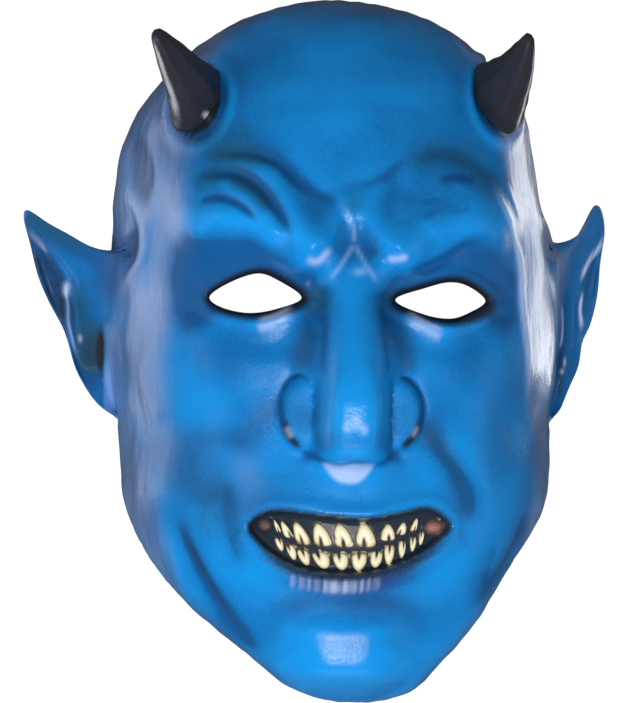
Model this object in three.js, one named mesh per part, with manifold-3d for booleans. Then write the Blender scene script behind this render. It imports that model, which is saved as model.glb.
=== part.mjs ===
// A demon's face mask cast in latex, lying face up on the flat edge of its open back, with two horns glued on.
// Millimetres. Seen from above, +X is to the right, +Y runs up to the crown, and +Z comes out of the face.
// The sculpting works in the head's own frame, whose origin is on the midline at eye-to-nose height.
import * as THREE from 'three';
import { mergeVertices } from 'three/addons/utils/BufferGeometryUtils.js';
import Module from 'manifold-3d';

// Driving dimensions of the head
const FACE_TOP = 125; // height of the front of the face over the rim, without the sculpted forms
const LATEX = 3; // thickness of the cast skin
const SIDE_WALL = { side: 32, crown: 38, chin: 88 }; // height at which the head is widest
const SQUARENESS = { side: 3.0, crown: 2.35, chin: 3.3 }; // 2 is an ellipse, more is a fuller turn
const SLOPE = { side: 0.16, crown: 0, chin: 0.02 }; // how much the sides lean in toward the front
const TUCK = { side: 4, crown: 3, chin: 13 }; // how far the rim draws in under the widest line
const WALL_SHARE = 0.2; // share of the way from the middle of the face to the rim that the side wall takes
const BOX_MIDDLE = { x: -7.95, y: 2.4 }; // the ears differ, so the box's middle is off the head's midline

// Half of the head's outline at its widest, from the crown to the chin
const OUTLINE = [
  [0, 148.8], [17, 146.6], [32.4, 141.7], [45.6, 136.6], [58.4, 126.7], [68, 116.9], [77.4, 106.9], [83.6, 97],
  [87.4, 87.5], [89, 77], [91.6, 62], [94.5, 45], [95.3, 15], [92.5, -25], [88.8, -62], [82.4, -77.5],
  [74.8, -87.3], [67.1, -97], [57.9, -107], [48.4, -116.7], [37.6, -126.5], [25.8, -136.2], [18.4, -141.6], [0, -144],
];

// The cast is not quite even: how far its sides lie over to the right, by height on the face
const LEAN = [
  [-146, 3.4], [-141, 3.6], [-136, 5], [-126, 1.9], [-117, 0.2], [-107, -1.5], [-95, -2.9], [-82, -1.8], [-66, -0.3],
  [-58, 0],
  [45, 0], [62, -1.3], [77, -2.3], [87, -2.5], [97, -1.5], [125, -1.3], [148, -0.5],
];

// Openings of the face
const EYE_LEFT = [
  [-55.6, 22], [-47.6, 27.6], [-36.7, 31.2], [-28.6, 28.6], [-19, 21.6], [-28.6, 17.2], [-40, 15.4], [-50.9, 17.7],
];
const EYE_RIGHT = [
  [18.3, 20.6], [30.6, 25.4], [41, 27.8], [49, 26.2], [56.1, 20.5], [49.5, 15.8], [41, 13.2], [30, 14.8],
];
const MOUTH = [
  [-40.8, -69.7], [-36.5, -64.9], [-28, -62.9], [-6.2, -65.3], [6.6, -66.1], [20, -63.7], [30, -62.2], [36.2, -64.8],
  [39.8, -70.1], [35.3, -75.2], [28, -80.5], [20, -84.3], [10, -87.6], [-2, -88.6], [-13.7, -87.9], [-23, -85.4],
  [-31, -80.9], [-37.3, -75.3],
];
const MOUTH_DEPTH = 5.5;

// Teeth, from the left corner of the mouth to the right
const UPPER_TEETH = [2.2, 4.3, 6.3, 7.1, 7.3, 7.8, 5.9, 4.3, 2.7];
const LOWER_TEETH = [3.3, 4.3, 4, 6.2, 5.5, 5.9, 5.2, 4.4, 3, 2.4, 2];
const TOOTH_GAP = 1;
const TOOTH_RAISE = 2.4;
const TOOTH_ROOT = 2;
const BITE = { middle: -78.6, rise: 0.0047 }; // the line between the rows curves up to the corners

// The nose from under its tip up to the brow, by height on the face
const NOSE = {
  height: [
    [-56, 0], [-52, 0.8], [-48, 2.6], [-46, 5], [-44, 11], [-42, 17.5], [-40, 21.6], [-38, 24.4], [-35, 26.6], [-30, 28],
    [-24, 28.6], [-19, 28.7], [-12, 27.2], [-5, 24.4], [3, 20.4], [10, 16.8], [18, 12.8], [25, 9.4], [40, 2.8], [52, 0],
  ],
  halfWidth: [[-56, 12.5], [-43, 14.2], [-33, 14.9], [-20, 14.9], [-5, 15], [8, 13.6], [25, 11], [52, 9]],
};
const WINGS = [[-18.2, -23.8, 9.9, 15, -0.08], [18.4, -24.4, 9.8, 14.8, 0.08]]; // middle, half sizes and turn
const WING_HEIGHT = 7.6;

// Height of the chin's middle, from under the jaw up to the lower lip
const CHIN = {
  height: [
    [-142, 0], [-140, 0.1], [-137, 1.4], [-134, 4.6], [-131, 8.4], [-128, 10.4], [-125, 10.2], [-119, 8.7], [-113, 7.4],
    [-110, 6.2], [-107, 4.4], [-104, 2.6], [-100, 0.8], [-96, 0],
  ],
  middle: -2.5,
  halfWidth: 24,
};

// Horns: root, bend and tip of each spine, and the root's half sizes. They were glued on by hand, so they differ.
const HORN = {
  left: [[-60.7, 102.6, 86], [-66.5, 111.5, 104], [-78, 127.6, 116]],
  right: [[63.5, 103.8, 86], [70.4, 112, 105], [73, 126.4, 116]],
  long: 15.8,
  wide: 10.8,
  lean: [-0.25, 0.97],
  gap: 0.3,
};
const HORN_TAPER = [[0, 1], [0.12, 0.88], [0.28, 0.73], [0.45, 0.585], [0.62, 0.475], [0.8, 0.34], [0.94, 0.2], [1, 0.1]];
const HORN_SEAT = { lip: 1.6, width: 2.2, depth: 1.2 };

// Ears: how far the tip stands out from the midline, and how high it is
const EAR = { thickness: 4, sections: 13, lobe: -27, top: 43, concha: 6, roll: 2.6, flare: 13 };
const LEFT_EAR_RIM = [[-97, -28], [-102.4, -19], [-111.8, 1.3], [-119.2, 17.3], [-127.2, 40.1], [-131.2, 58.4],
  [-117.8, 51], [-102, 43.4]];
const RIGHT_EAR_RIM = [[97, -29.5], [101.6, -16], [106.6, 4.6], [112.4, 24], [115.5, 47], [111.2, 61.9],
  [104.2, 52.4], [95, 44.8]];

const WELD = 0.02;

const LATEX_BLUE = 0x1b80cc;
const HORN_BLACK = 0x1d1c20;

const { PI, abs, atan2, cos, exp, hypot, max, min, sign, sin, sqrt } = Math;

// Small measuring helpers
const clamp01 = (x) => min(1, max(0, x));

function ramp(from, to, x) {
  const t = clamp01((x - from) / (to - from));
  return t * t * (3 - 2 * t);
}

// A smooth curve through a few points, as a polyline with its running length
function curveThrough(points, closed = false) {
  const curve = new THREE.CatmullRomCurve3(points.map(([x, y]) => new THREE.Vector3(x, y, 0)), closed, 'catmullrom', 0.5);
  const steps = 8 * (closed ? points.length : points.length - 1);
  const line = Array.from({ length: steps + 1 }, (_, i) => curve.getPoint(i / steps));
  const run = [0];
  for (let i = 1; i < line.length; i++) run.push(run[i - 1] + line[i].distanceTo(line[i - 1]));
  return { line, run };
}

// Distance from (x, y) to a curve, how far along it (0 to 1), and on which side (+1 is left of travel)
function measure({ line, run }, x, y) {
  let best = Infinity;
  let along = 0;
  let side = 1;
  for (let i = 0; i + 1 < line.length; i++) {
    const a = line[i];
    const dx = line[i + 1].x - a.x;
    const dy = line[i + 1].y - a.y;
    const t = clamp01(((x - a.x) * dx + (y - a.y) * dy) / (dx * dx + dy * dy));
    const ex = x - a.x - t * dx;
    const ey = y - a.y - t * dy;
    const d = hypot(ex, ey);
    if (d < best) {
      best = d;
      along = (run[i] + t * (run[i + 1] - run[i])) / run.at(-1);
      side = sign(dx * ey - dy * ex);
    }
  }
  return { distance: best, along, side };
}

// Depth inside a closed curve, negative outside it
function depthInside(curve, x, y) {
  const { distance } = measure(curve, x, y);
  let odd = false;
  for (let i = 0; i + 1 < curve.line.length; i++) {
    const a = curve.line[i];
    const b = curve.line[i + 1];
    if (a.y > y !== b.y > y && x < ((b.x - a.x) * (y - a.y)) / (b.y - a.y) + a.x) odd = !odd;
  }
  return odd ? distance : -distance;
}

// A smooth profile through [position, value] pairs, read off at any position and held level past its ends
function profile(pairs) {
  const line = curveThrough(pairs).line.map((p) => [p.x, p.y]).sort((a, b) => a[0] - b[0]);
  return (position) => {
    if (position <= line[0][0]) return line[0][1];
    if (position >= line.at(-1)[0]) return line.at(-1)[1];
    const i = line.findIndex((pair) => pair[0] > position);
    const [[before, low], [after, high]] = [line[i - 1], line[i]];
    return low + ((high - low) * (position - before)) / (after - before);
  };
}

// Sculpting tools: each returns a function that gives the height it adds at (x, y)
function bump(cx, cy, rx, ry, height, power = 1, turn = 0) {
  return (x, y) => {
    const dx = x - cx;
    const dy = y - cy;
    const a = (dx * cos(turn) + dy * sin(turn)) / rx;
    const b = (dy * cos(turn) - dx * sin(turn)) / ry;
    return height * exp(-((a * a + b * b) ** power));
  };
}

const fadeEnds = (t, start, end) => ramp(0, start, t) * ramp(0, end, 1 - t);

function roll(points, width, height, start = 0.3, end = 0.3) {
  const curve = curveThrough(points);
  return (x, y) => {
    const m = measure(curve, x, y);
    return height * fadeEnds(m.along, start, end) * exp(-((m.distance / width) ** 2));
  };
}

function crease(points, width, depth, start = 0.25, end = 0.25) {
  const curve = curveThrough(points);
  return (x, y) => {
    const m = measure(curve, x, y);
    return -depth * fadeEnds(m.along, start, end) * exp(-m.distance / width);
  };
}

// A fleshy fold: it swells on one side of a line and falls into a crease along it
function fold(points, width, height, depth, swellSide, start, end) {
  const curve = curveThrough(points);
  return (x, y) => {
    const { distance, along: t, side } = measure(curve, x, y);
    const swell = side === swellSide ? (1 - exp(-distance / (0.35 * width))) * exp(-((distance / width) ** 2)) : 0;
    return fadeEnds(t, start, end) * (height * swell - depth * exp(-distance / (0.28 * width)));
  };
}

const mirrored = (tool) => (x, y) => tool(x, y) + tool(-x, y);

// The head without its features: a dome over the outline, with a low wall down to the rim
const fromCrown = ([x, y]) => [atan2(x, y), hypot(x, y)];
const mirror = ([x, y]) => [-x, y];
const beforeCrown = fromCrown(mirror(OUTLINE[1]));
const afterChin = fromCrown(mirror(OUTLINE.at(-2)));
afterChin[0] += 2 * PI;
const radiusFromCrown = profile([beforeCrown, ...OUTLINE.map(fromCrown), afterChin]);

function outlineRadius(direction) {
  return radiusFromCrown(abs(atan2(cos(direction), sin(direction))));
}

function byDirection({ side, crown, chin }, direction) {
  const toCrown = ramp(0.25, 1, sin(direction));
  const toChin = ramp(0.35, 1, -sin(direction));
  return side * (1 - toCrown - toChin) + crown * toCrown + chin * toChin;
}

// Distance from the head's axis to its surface at a height over the rim
function headRadius(direction, z) {
  const widest = byDirection(SIDE_WALL, direction);
  const radius = outlineRadius(direction);
  if (z <= widest) return radius - byDirection(TUCK, direction) * (1 - z / widest) ** 2;
  const n = byDirection(SQUARENESS, direction);
  const rise = (z - widest) / (FACE_TOP - widest);
  return radius * (1 - rise ** n) ** (1 / n) * (1 - byDirection(SLOPE, direction) * rise);
}

// Half width of the head at a height y and a depth z, measured to one side
function halfWidth(y, z) {
  let x = 90;
  for (let i = 0; i < 6; i++) x = sqrt(headRadius(atan2(y, x), z) ** 2 - y * y);
  return x;
}

const lean = profile(LEAN);

// A point of the dome over a disc: (0, 0) is the middle of the face and radius 1 is the rim
function domePoint(p, q) {
  const r = hypot(p, q);
  const leaning = (rho, direction, z) => {
    const y = rho * sin(direction);
    return new THREE.Vector3(rho * cos(direction) + lean(y) * ramp(0.3, 0.8, r), y, z);
  };
  const direction = atan2(q, p);
  const widest = byDirection(SIDE_WALL, direction);
  const edge = 1 - WALL_SHARE;
  if (r > edge) {
    const z = (widest * (1 - r)) / WALL_SHARE;
    return leaning(headRadius(direction, z), direction, z);
  }
  const n = byDirection(SQUARENESS, direction);
  const turn = ((r / edge) * PI) / 2;
  const k = (sin(turn) ** n + max(0, cos(turn)) ** n) ** (-1 / n);
  const rise = max(0, cos(turn)) * k;
  const rho = outlineRadius(direction) * sin(turn) * k * (1 - byDirection(SLOPE, direction) * rise);
  return leaning(rho, direction, widest + (FACE_TOP - widest) * rise);
}

function domeNormal(p, q) {
  const step = 0.004;
  const across = domePoint(p + step, q).sub(domePoint(p - step, q));
  const up = domePoint(p, q + step).sub(domePoint(p, q - step));
  return across.cross(up).normalize();
}

// The sculpted forms
const forehead = bump(0, 92, 52, 30, 3);
const brows = [
  roll([[-72, 44], [-56, 53], [-38, 55], [-20, 46], [-8, 38]], 12, 6.5, 0.2, 0.12),
  roll([[72, 44], [56, 52], [40, 53], [23, 46], [12, 37]], 12, 6.5, 0.2, 0.12),
  bump(-14, 40, 10, 9, 3.8, 1.4, -0.5),
  bump(18.2, 39, 10, 9, 3.8, 1.4, 0.4),
  bump(1.5, 57, 7, 8, 2),
  bump(1.5, 40, 9, 10, -1),
];
const browFolds = [
  crease([[-58, 77], [-44.6, 80.6], [-32, 78.4], [-24.2, 74.5], [-16.4, 63.6]], 3.2, 2.2),
  crease([[-63, 67], [-52.4, 72], [-41.6, 70.2], [-32.8, 63.6], [-23.8, 46.4]], 3, 2.3),
  crease([[-61, 60], [-51.2, 61.2], [-41.6, 58.4], [-37.2, 51.6]], 2.6, 1.3),
  roll([[-8.6, 65.5], [-3.8, 57], [-1, 48.5], [-3.4, 38], [-9.6, 28]], 3.4, -1.5),
  roll([[8.4, 65.5], [5.8, 56.5], [4.7, 49], [7.4, 40], [13.6, 31]], 3.4, -1.5),
  roll([[20, 74.4], [29, 78.2], [39.4, 79.2], [49.7, 75], [58, 67.4], [62.5, 59]], 5, -0.8),
  roll([[35, 67.2], [40, 69.7], [46, 69.8], [52.6, 67.5]], 2, -0.9),
  roll([[-10, 61.6], [-4, 64.2], [2, 66], [8.1, 67.3], [15.4, 71.4], [20.8, 76], [27, 80]], 3, -0.6),
];
const sockets = [
  bump(-40, 22, 24, 14, -6.5, 1.2),
  bump(40, 20, 24, 14, -6.5, 1.2),
  bump(-17.5, 23, 7, 10, -4),
  bump(19, 21, 7, 10, -4),
];
const cheeks = [
  mirrored(bump(58, -8, 20, 20, 4, 1, -0.4)),
  mirrored(bump(66, -60, 14, 26, -2.5)),
  mirrored(bump(78, 74, 13, 28, -3)),
  fold([[-24, -11], [-29, -21], [-39, -32], [-46, -41], [-49, -51], [-48, -66], [-43, -90]], 18, 1.8, 0.4, -1, 0.4, 0.35),
  fold([[28, -30], [34.4, -39], [40.8, -47], [46.2, -55], [48.5, -65], [49, -80]], 18, 2, 0.5, 1, 0.4, 0.3),
  crease([[-70, -62], [-59, -90.4], [-51.2, -101.2], [-32.8, -125.2]], 4, 2.2),
  crease([[78, -60], [72, -75], [58, -95], [50, -106]], 4, 2.2),
];
const chinHeight = profile(CHIN.height);
const jaw = [
  bump(0, -70, 40, 27, 7.5, 1.4),
  bump(-1, -45, 13, 8.5, 4.2, 1.3),
  (x, y) => chinHeight(y) * exp(-(abs((x - CHIN.middle) / CHIN.halfWidth) ** 5)),
];
const lids = [curveThrough(EYE_LEFT, true), curveThrough(EYE_RIGHT, true)];
const mouthLine = curveThrough(MOUTH, true);
const wings = WINGS.map(([x, y, across, along, turn]) => bump(x, y, across, along, WING_HEIGHT, 4.2, turn));

const noseHeight = profile(NOSE.height);
const noseHalfWidth = profile(NOSE.halfWidth);

// The bridge turns from a soft ridge into a boxy tip, with a round wing on each side
function nose(x, y) {
  const across = abs(x - 1.6 + 2 * ramp(20, -35, y)) / noseHalfWidth(y);
  const bridge = noseHeight(y) * exp(-(across ** (2.3 + 2.3 * ramp(0, -22, y))));
  return max(bridge, wings.reduce((sum, wing) => sum + wing(x, y), 0));
}

function lid(x, y) {
  return lids.reduce((sum, curve) => sum + 1.8 * exp(-(((depthInside(curve, x, y) + 3.2) / 3.4) ** 2)), 0);
}

function mouth(x, y) {
  const depth = depthInside(mouthLine, x, y);
  const lower = ramp(-70, -84, y);
  const lip = (1 + 1.8 * lower) * exp(-(((depth + 3 + 0.8 * lower) / (2.8 + lower)) ** 2));
  return lip - MOUTH_DEPTH * ramp(-0.8, 2.4, depth);
}

// The seat that each horn is glued into: a shallow well with a lip of latex round it
function hornSeat(x, y) {
  const [[cx, cy]] = x < 0 ? HORN.left : HORN.right;
  const dx = abs(x) - abs(cx);
  const dy = y - cy;
  const [leanX, leanY] = HORN.lean;
  const a = (dx * leanY - dy * leanX) / HORN.wide;
  const b = (dx * leanX + dy * leanY) / HORN.long;
  const past = (hypot(a, b) - 1) * HORN.wide;
  const lip = HORN_SEAT.lip * exp(-(((past - HORN_SEAT.width) / HORN_SEAT.width) ** 2));
  return lip - HORN_SEAT.depth * ramp(HORN_SEAT.width, -HORN_SEAT.width, past);
}

const forms = [forehead, ...brows, ...browFolds, ...sockets, ...cheeks, ...jaw, nose, lid, mouth, hornSeat];
const relief = (x, y) => forms.reduce((sum, form) => sum + form(x, y), 0);

// The back of the casting is smoother: it keeps under the lowest form within reach
function reliefWithin(x, y, reach) {
  let lowest = relief(x, y);
  for (let i = 0; i < 12; i++) {
    const turn = (i * PI) / 6;
    const out = i % 2 ? reach : reach / 2;
    lowest = min(lowest, relief(x + out * cos(turn), y + out * sin(turn)));
  }
  return lowest;
}

const atRim = (p, q) => ramp(1, 0.86, hypot(p, q));

function skinPoint(p, q) {
  const point = domePoint(p, q);
  return point.addScaledVector(domeNormal(p, q), relief(point.x, point.y) * atRim(p, q));
}

function liningPoint(p, q) {
  const point = domePoint(p, q);
  return point.addScaledVector(domeNormal(p, q), reliefWithin(point.x, point.y, 7) * atRim(p, q) - LATEX);
}

// Grid lines from -1 to 1, closer together where the weight is higher
function gridLines(count, weight) {
  const samples = 800;
  const sum = [0];
  for (let i = 0; i < samples; i++) sum.push(sum[i] + weight(-1 + (2 * (i + 0.5)) / samples));
  const lines = [];
  for (let k = 0, i = 0; k <= count; k++) {
    const target = (sum[samples] * k) / count;
    while (i < samples - 1 && sum[i + 1] < target) i++;
    lines.push(-1 + (2 * (i + (target - sum[i]) / (sum[i + 1] - sum[i]))) / samples);
  }
  return lines;
}

// A closed solid: the sheet of points, a skirt straight down to the floor height, and a flat bottom
function domeSolid(us, vs, point, floor) {
  const across = us.length;
  const up = vs.length;
  const vertices = [];
  for (const v of vs) {
    // the square of grid lines is drawn out to a disc, so that its edge is the rim
    for (const u of us) vertices.push(point(u * sqrt(1 - (v * v) / 2), v * sqrt(1 - (u * u) / 2)));
  }
  const index = [];
  const at = (i, j) => j * across + i;
  for (let j = 0; j + 1 < up; j++) {
    for (let i = 0; i + 1 < across; i++) {
      const leansRight = (us[i] + us[i + 1]) * (vs[j] + vs[j + 1]) > 0;
      const [a, b, c, d] = [at(i, j), at(i + 1, j), at(i + 1, j + 1), at(i, j + 1)];
      if (leansRight) index.push(a, b, d, b, c, d);
      else index.push(a, b, c, a, c, d);
    }
  }
  const rim = [];
  for (let i = 0; i < across - 1; i++) rim.push(at(i, 0));
  for (let j = 0; j < up - 1; j++) rim.push(at(across - 1, j));
  for (let i = across - 1; i > 0; i--) rim.push(at(i, up - 1));
  for (let j = up - 1; j > 0; j--) rim.push(at(0, j));
  let foot = rim;
  if (floor < 0) {
    foot = rim.map((k) => vertices.push(vertices[k].clone().setZ(floor)) - 1);
    rim.forEach((k, n) => {
      const next = (n + 1) % rim.length;
      index.push(k, foot[n], foot[next], k, foot[next], rim[next]);
    });
  } else {
    rim.forEach((k) => vertices[k].setZ(0));
  }
  const centre = vertices.push(new THREE.Vector3(0, 0, floor)) - 1;
  foot.forEach((k, n) => index.push(centre, foot[(n + 1) % foot.length], k));
  return geometryFrom(vertices, index);
}

function geometryFrom(vertices, index) {
  const geometry = new THREE.BufferGeometry();
  geometry.setAttribute('position', new THREE.Float32BufferAttribute(vertices.flatMap((p) => p.toArray()), 3));
  geometry.setIndex(index);
  return geometry;
}

// A closed solid from rings of equal length, with a fan over each end
function ringSolid(rings) {
  const n = rings[0].length;
  const vertices = rings.flat();
  const index = [];
  for (let r = 0; r + 1 < rings.length; r++) {
    for (let i = 0; i < n; i++) {
      const a = r * n + i;
      const b = r * n + ((i + 1) % n);
      index.push(a, b, b + n, a, b + n, a + n);
    }
  }
  for (const [start, flip] of [[0, true], [(rings.length - 1) * n, false]]) {
    const ring = vertices.slice(start, start + n);
    const middle = ring.reduce((sum, p) => sum.add(p), new THREE.Vector3()).divideScalar(n);
    const centre = vertices.push(middle) - 1;
    for (let i = 0; i < n; i++) {
      const a = start + i;
      const b = start + ((i + 1) % n);
      index.push(...(flip ? [centre, b, a] : [centre, a, b]));
    }
  }
  return geometryFrom(vertices, index);
}

// Joining and cutting
const wasm = await Module();
wasm.setup();

function toSolid(geometry) {
  const bare = geometry.clone();
  bare.deleteAttribute('normal');
  bare.deleteAttribute('uv');
  const merged = mergeVertices(bare, 1e-4);
  const mesh = new wasm.Mesh({
    numProp: 3,
    vertProperties: merged.attributes.position.array,
    triVerts: Uint32Array.from(merged.index.array),
  });
  return new wasm.Manifold(mesh);
}

// A cut leaves slivers where it grazes a corner: points closer than the weld become one, and their triangles go
function toGeometry(solid) {
  const mesh = solid.getMesh();
  const cut = new THREE.BufferGeometry();
  cut.setAttribute('position', new THREE.BufferAttribute(Float32Array.from(mesh.vertProperties), 3));
  cut.setIndex(new THREE.BufferAttribute(Uint32Array.from(mesh.triVerts), 1));
  const geometry = mergeVertices(cut, WELD);
  const corners = geometry.index.array;
  const kept = [];
  for (let i = 0; i < corners.length; i += 3) {
    const [a, b, c] = corners.subarray(i, i + 3);
    if (a !== b && b !== c && c !== a) kept.push(a, b, c);
  }
  geometry.setIndex(kept);
  geometry.computeVertexNormals();
  return geometry;
}

// Ears: sections fan out from the root on the side of the head to the rim of the ear
const EAR_PROFILE = [
  // how far out from the root, height of the front face in units of the concha's depth
  [0.12, -0.35], [0.3, -1], [0.52, -0.75], [0.68, 0.05], [0.84, -0.25], [0.95, 0.35],
];

function earRings(rimPoints) {
  const side = sign(rimPoints[0][0]);
  const rim = new THREE.CatmullRomCurve3(rimPoints.map(([x, y]) => new THREE.Vector3(x, y, 0)), false, 'catmullrom', 0.5);
  const rings = [];
  for (let k = 0; k < EAR.sections; k++) {
    const t = k / (EAR.sections - 1);
    const y = EAR.lobe + (EAR.top - EAR.lobe) * t;
    const depth = 28 + 34 * t ** 1.6;
    const edge = rim.getPoint(t);
    const edgeDepth = depth + 6 - 14 * t;
    const flare = 3 + (EAR.flare - 3) * ramp(0.3, 0.95, t);
    const hollow = EAR.concha * ramp(0, 0.25, t) * ramp(1.05, 0.6, t);
    const lip = EAR.roll * ramp(0, 0.2, t);
    const front = (s, lift) => {
      const rootX = side * halfWidth(y, depth);
      return new THREE.Vector3(rootX + (edge.x - rootX) * s, y + (edge.y - y) * s, depth + (edgeDepth - depth) * s + lift);
    };
    const sunk = (z) => new THREE.Vector3(side * (halfWidth(y, z) - 2.2), y, z);
    const ring = [sunk(depth + flare)];
    for (const [s, height] of EAR_PROFILE) {
      ring.push(front(s, (height > 0 ? lip * height * 3 : hollow * height) + flare * exp(-s / 0.1)));
    }
    ring.push(front(1, lip * 0.4));
    ring.push(front(0.97, -EAR.thickness * 0.7));
    ring.push(front(0.7, -EAR.thickness - hollow * 0.3));
    ring.push(front(0.3, -EAR.thickness - hollow));
    ring.push(sunk(depth - EAR.thickness - hollow - 2));
    rings.push(side < 0 ? ring.reverse() : ring);
  }
  return rings;
}

// Height of the sculpted face over the rim at (x, y)
function faceHeight(x, y) {
  const direction = atan2(y, x);
  const target = hypot(x, y);
  let low = byDirection(SIDE_WALL, direction);
  let high = FACE_TOP;
  for (let i = 0; i < 30; i++) {
    const middle = (low + high) / 2;
    if (headRadius(direction, middle) > target) low = middle;
    else high = middle;
  }
  return low + relief(x, y);
}

// Teeth: rounded pegs standing on the floor of the mouth, narrower at the gum or at the biting edge
function tooth(x, width, top, bottom, narrowEnd) {
  const geometry = new THREE.BoxGeometry(1, 1, 1, 2, 2, 1);
  const position = geometry.attributes.position;
  const middle = (top + bottom) / 2;
  const tall = top - bottom;
  const floor = faceHeight(x, middle);
  for (let i = 0; i < position.count; i++) {
    const a = position.getX(i);
    const b = position.getY(i);
    const front = position.getZ(i) > 0;
    const end = sign(b) === narrowEnd ? 0.75 : 1;
    const squeeze = b === 0 ? 1 : end;
    const corner = abs(a) > 0.4 && abs(b) > 0.4 ? 0.88 : 1;
    const shrink = front ? 0.86 : 1;
    const crown = a === 0 && b === 0 ? 1 : 0.72;
    position.setXYZ(
      i,
      x + a * width * squeeze * corner * shrink,
      middle + b * tall * corner * shrink,
      floor + (front ? TOOTH_RAISE * crown : -TOOTH_ROOT),
    );
  }
  return geometry;
}

function teeth() {
  const pegs = [];
  const row = (widths, start, height, upper) => {
    let x = start;
    for (const width of widths) {
      const middle = x + width / 2;
      const bite = BITE.middle + BITE.rise * middle * middle;
      const tall = height * (0.62 + 0.38 * cos((middle / 32) * (PI / 2)));
      const near = upper ? bite + 0.7 : bite - 0.7;
      if (upper) pegs.push(tooth(middle, width, near + tall, near, -1));
      else pegs.push(tooth(middle, width, near, near - tall, 1));
      x += width + TOOTH_GAP;
    }
  };
  row(UPPER_TEETH, -30, 9.6, true);
  row(LOWER_TEETH, -30, 8, false);
  return pegs;
}

// Horns: a bent, tapering spike with a ridge down its outer side
const hornTaper = profile(HORN_TAPER);

function horn(side) {
  const [root, bend, tip] = (side < 0 ? HORN.left : HORN.right).map((place) => new THREE.Vector3(...place));
  const spine = new THREE.QuadraticBezierCurve3(root, bend, tip);
  const start = spine.getTangent(0);
  const long = new THREE.Vector3(side * HORN.lean[0], HORN.lean[1], 0);
  long.addScaledVector(start, -long.dot(start)).normalize();
  const wide = start.clone().cross(long).normalize();
  const sides = 12;
  const rings = [];
  const stations = [-0.2, 0, 0.12, 0.28, 0.45, 0.62, 0.8, 0.94, 1];
  for (const s of stations) {
    const middle = s < 0 ? root.clone().addScaledVector(start, s * 40) : spine.getPoint(s);
    const size = hornTaper(s);
    const ring = [];
    for (let k = 0; k < sides; k++) {
      const turn = (k * 2 * PI) / sides;
      const ridge = 1 + 0.04 * cos(3 * turn);
      ring.push(middle.clone()
        .addScaledVector(long, HORN.long * size * cos(turn) * ridge)
        .addScaledVector(wide, HORN.wide * size * sin(turn) * ridge));
    }
    rings.push(ring);
  }
  return ringSolid(rings);
}

// Building the casting
const across = gridLines(46, (u) => 0.6 + 1.2 * exp(-((u / 0.42) ** 8)));
const upward = gridLines(54, (v) => 0.5 + 1.5 * exp(-(((v + 0.04) / 0.38) ** 8)));
const acrossLining = gridLines(20, (u) => 0.6 + 0.8 * exp(-((u / 0.42) ** 8)));
const upLining = gridLines(22, (v) => 0.5 + 0.9 * exp(-(((v + 0.04) / 0.4) ** 8)));

const face = toSolid(domeSolid(across, upward, skinPoint, 0));
const hollow = toSolid(domeSolid(acrossLining, upLining, liningPoint, -6));
const ears = [LEFT_EAR_RIM, RIGHT_EAR_RIM].map((rimPoints) => toSolid(ringSolid(earRings(rimPoints))));
const eyes = [EYE_LEFT, EYE_RIGHT].map((outline) => {
  const edge = curveThrough(outline, true).line.slice(0, -1).filter((_, i) => i % 3 === 0);
  const shape = new THREE.Shape(edge.map((p) => new THREE.Vector2(p.x, p.y)));
  return toSolid(new THREE.ExtrudeGeometry(shape, { depth: 110, bevelEnabled: false }).translate(0, 0, 50));
});

let casting = face;
for (const ear of ears) casting = casting.add(ear);
for (const peg of teeth()) casting = casting.add(toSolid(peg));
casting = casting.subtract(hollow);
for (const eye of eyes) casting = casting.subtract(eye);

// The horns sit on the latex with a glue gap
const overSkin = toSolid(domeSolid(across, upward, (p, q) => skinPoint(p, q).addScaledVector(domeNormal(p, q), HORN.gap), 0));

const latexBlue = new THREE.MeshStandardMaterial({ color: LATEX_BLUE, roughness: 0.38, metalness: 0 });
const hornBlack = new THREE.MeshStandardMaterial({ color: HORN_BLACK, roughness: 0.3, metalness: 0 });

function named(name, geometry, material) {
  const mesh = new THREE.Mesh(geometry, material);
  mesh.name = name;
  return mesh;
}

const mask = new THREE.Group();
mask.add(named('mask_skin', toGeometry(casting), latexBlue));
for (const [name, side] of [['horn_left', -1], ['horn_right', 1]]) {
  mask.add(named(name, toGeometry(toSolid(horn(side)).subtract(overSkin)), hornBlack));
}
mask.position.set(-BOX_MIDDLE.x, -BOX_MIDDLE.y, 0);

export default mask;
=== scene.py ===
# %% [markdown]
# # A demon's face cast in latex
# The mask lies face up on the edge of its open back. The imported model gives the space that each
# piece has to fill, so it is loaded first.

# %% Load the imported model
from math import atan2, cos, pi, radians, sin

import bpy
import numpy as np
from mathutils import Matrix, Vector
from mathutils.kdtree import KDTree


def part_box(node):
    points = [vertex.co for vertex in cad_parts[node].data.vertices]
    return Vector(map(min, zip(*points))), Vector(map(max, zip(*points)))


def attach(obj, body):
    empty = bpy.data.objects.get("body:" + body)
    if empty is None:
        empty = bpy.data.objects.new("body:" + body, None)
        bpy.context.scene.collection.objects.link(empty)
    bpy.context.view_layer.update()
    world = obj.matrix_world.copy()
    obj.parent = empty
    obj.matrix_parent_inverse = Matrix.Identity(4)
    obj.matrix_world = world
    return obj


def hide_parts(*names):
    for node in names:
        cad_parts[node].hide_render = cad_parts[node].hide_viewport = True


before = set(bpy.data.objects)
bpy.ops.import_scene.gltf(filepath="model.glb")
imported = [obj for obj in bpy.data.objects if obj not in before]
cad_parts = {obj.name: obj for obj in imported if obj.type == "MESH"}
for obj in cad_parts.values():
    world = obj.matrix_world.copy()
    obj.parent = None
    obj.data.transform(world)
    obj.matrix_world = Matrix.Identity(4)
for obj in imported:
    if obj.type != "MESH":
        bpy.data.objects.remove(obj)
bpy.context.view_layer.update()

print("packed nodes:", sorted(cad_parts))

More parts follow.
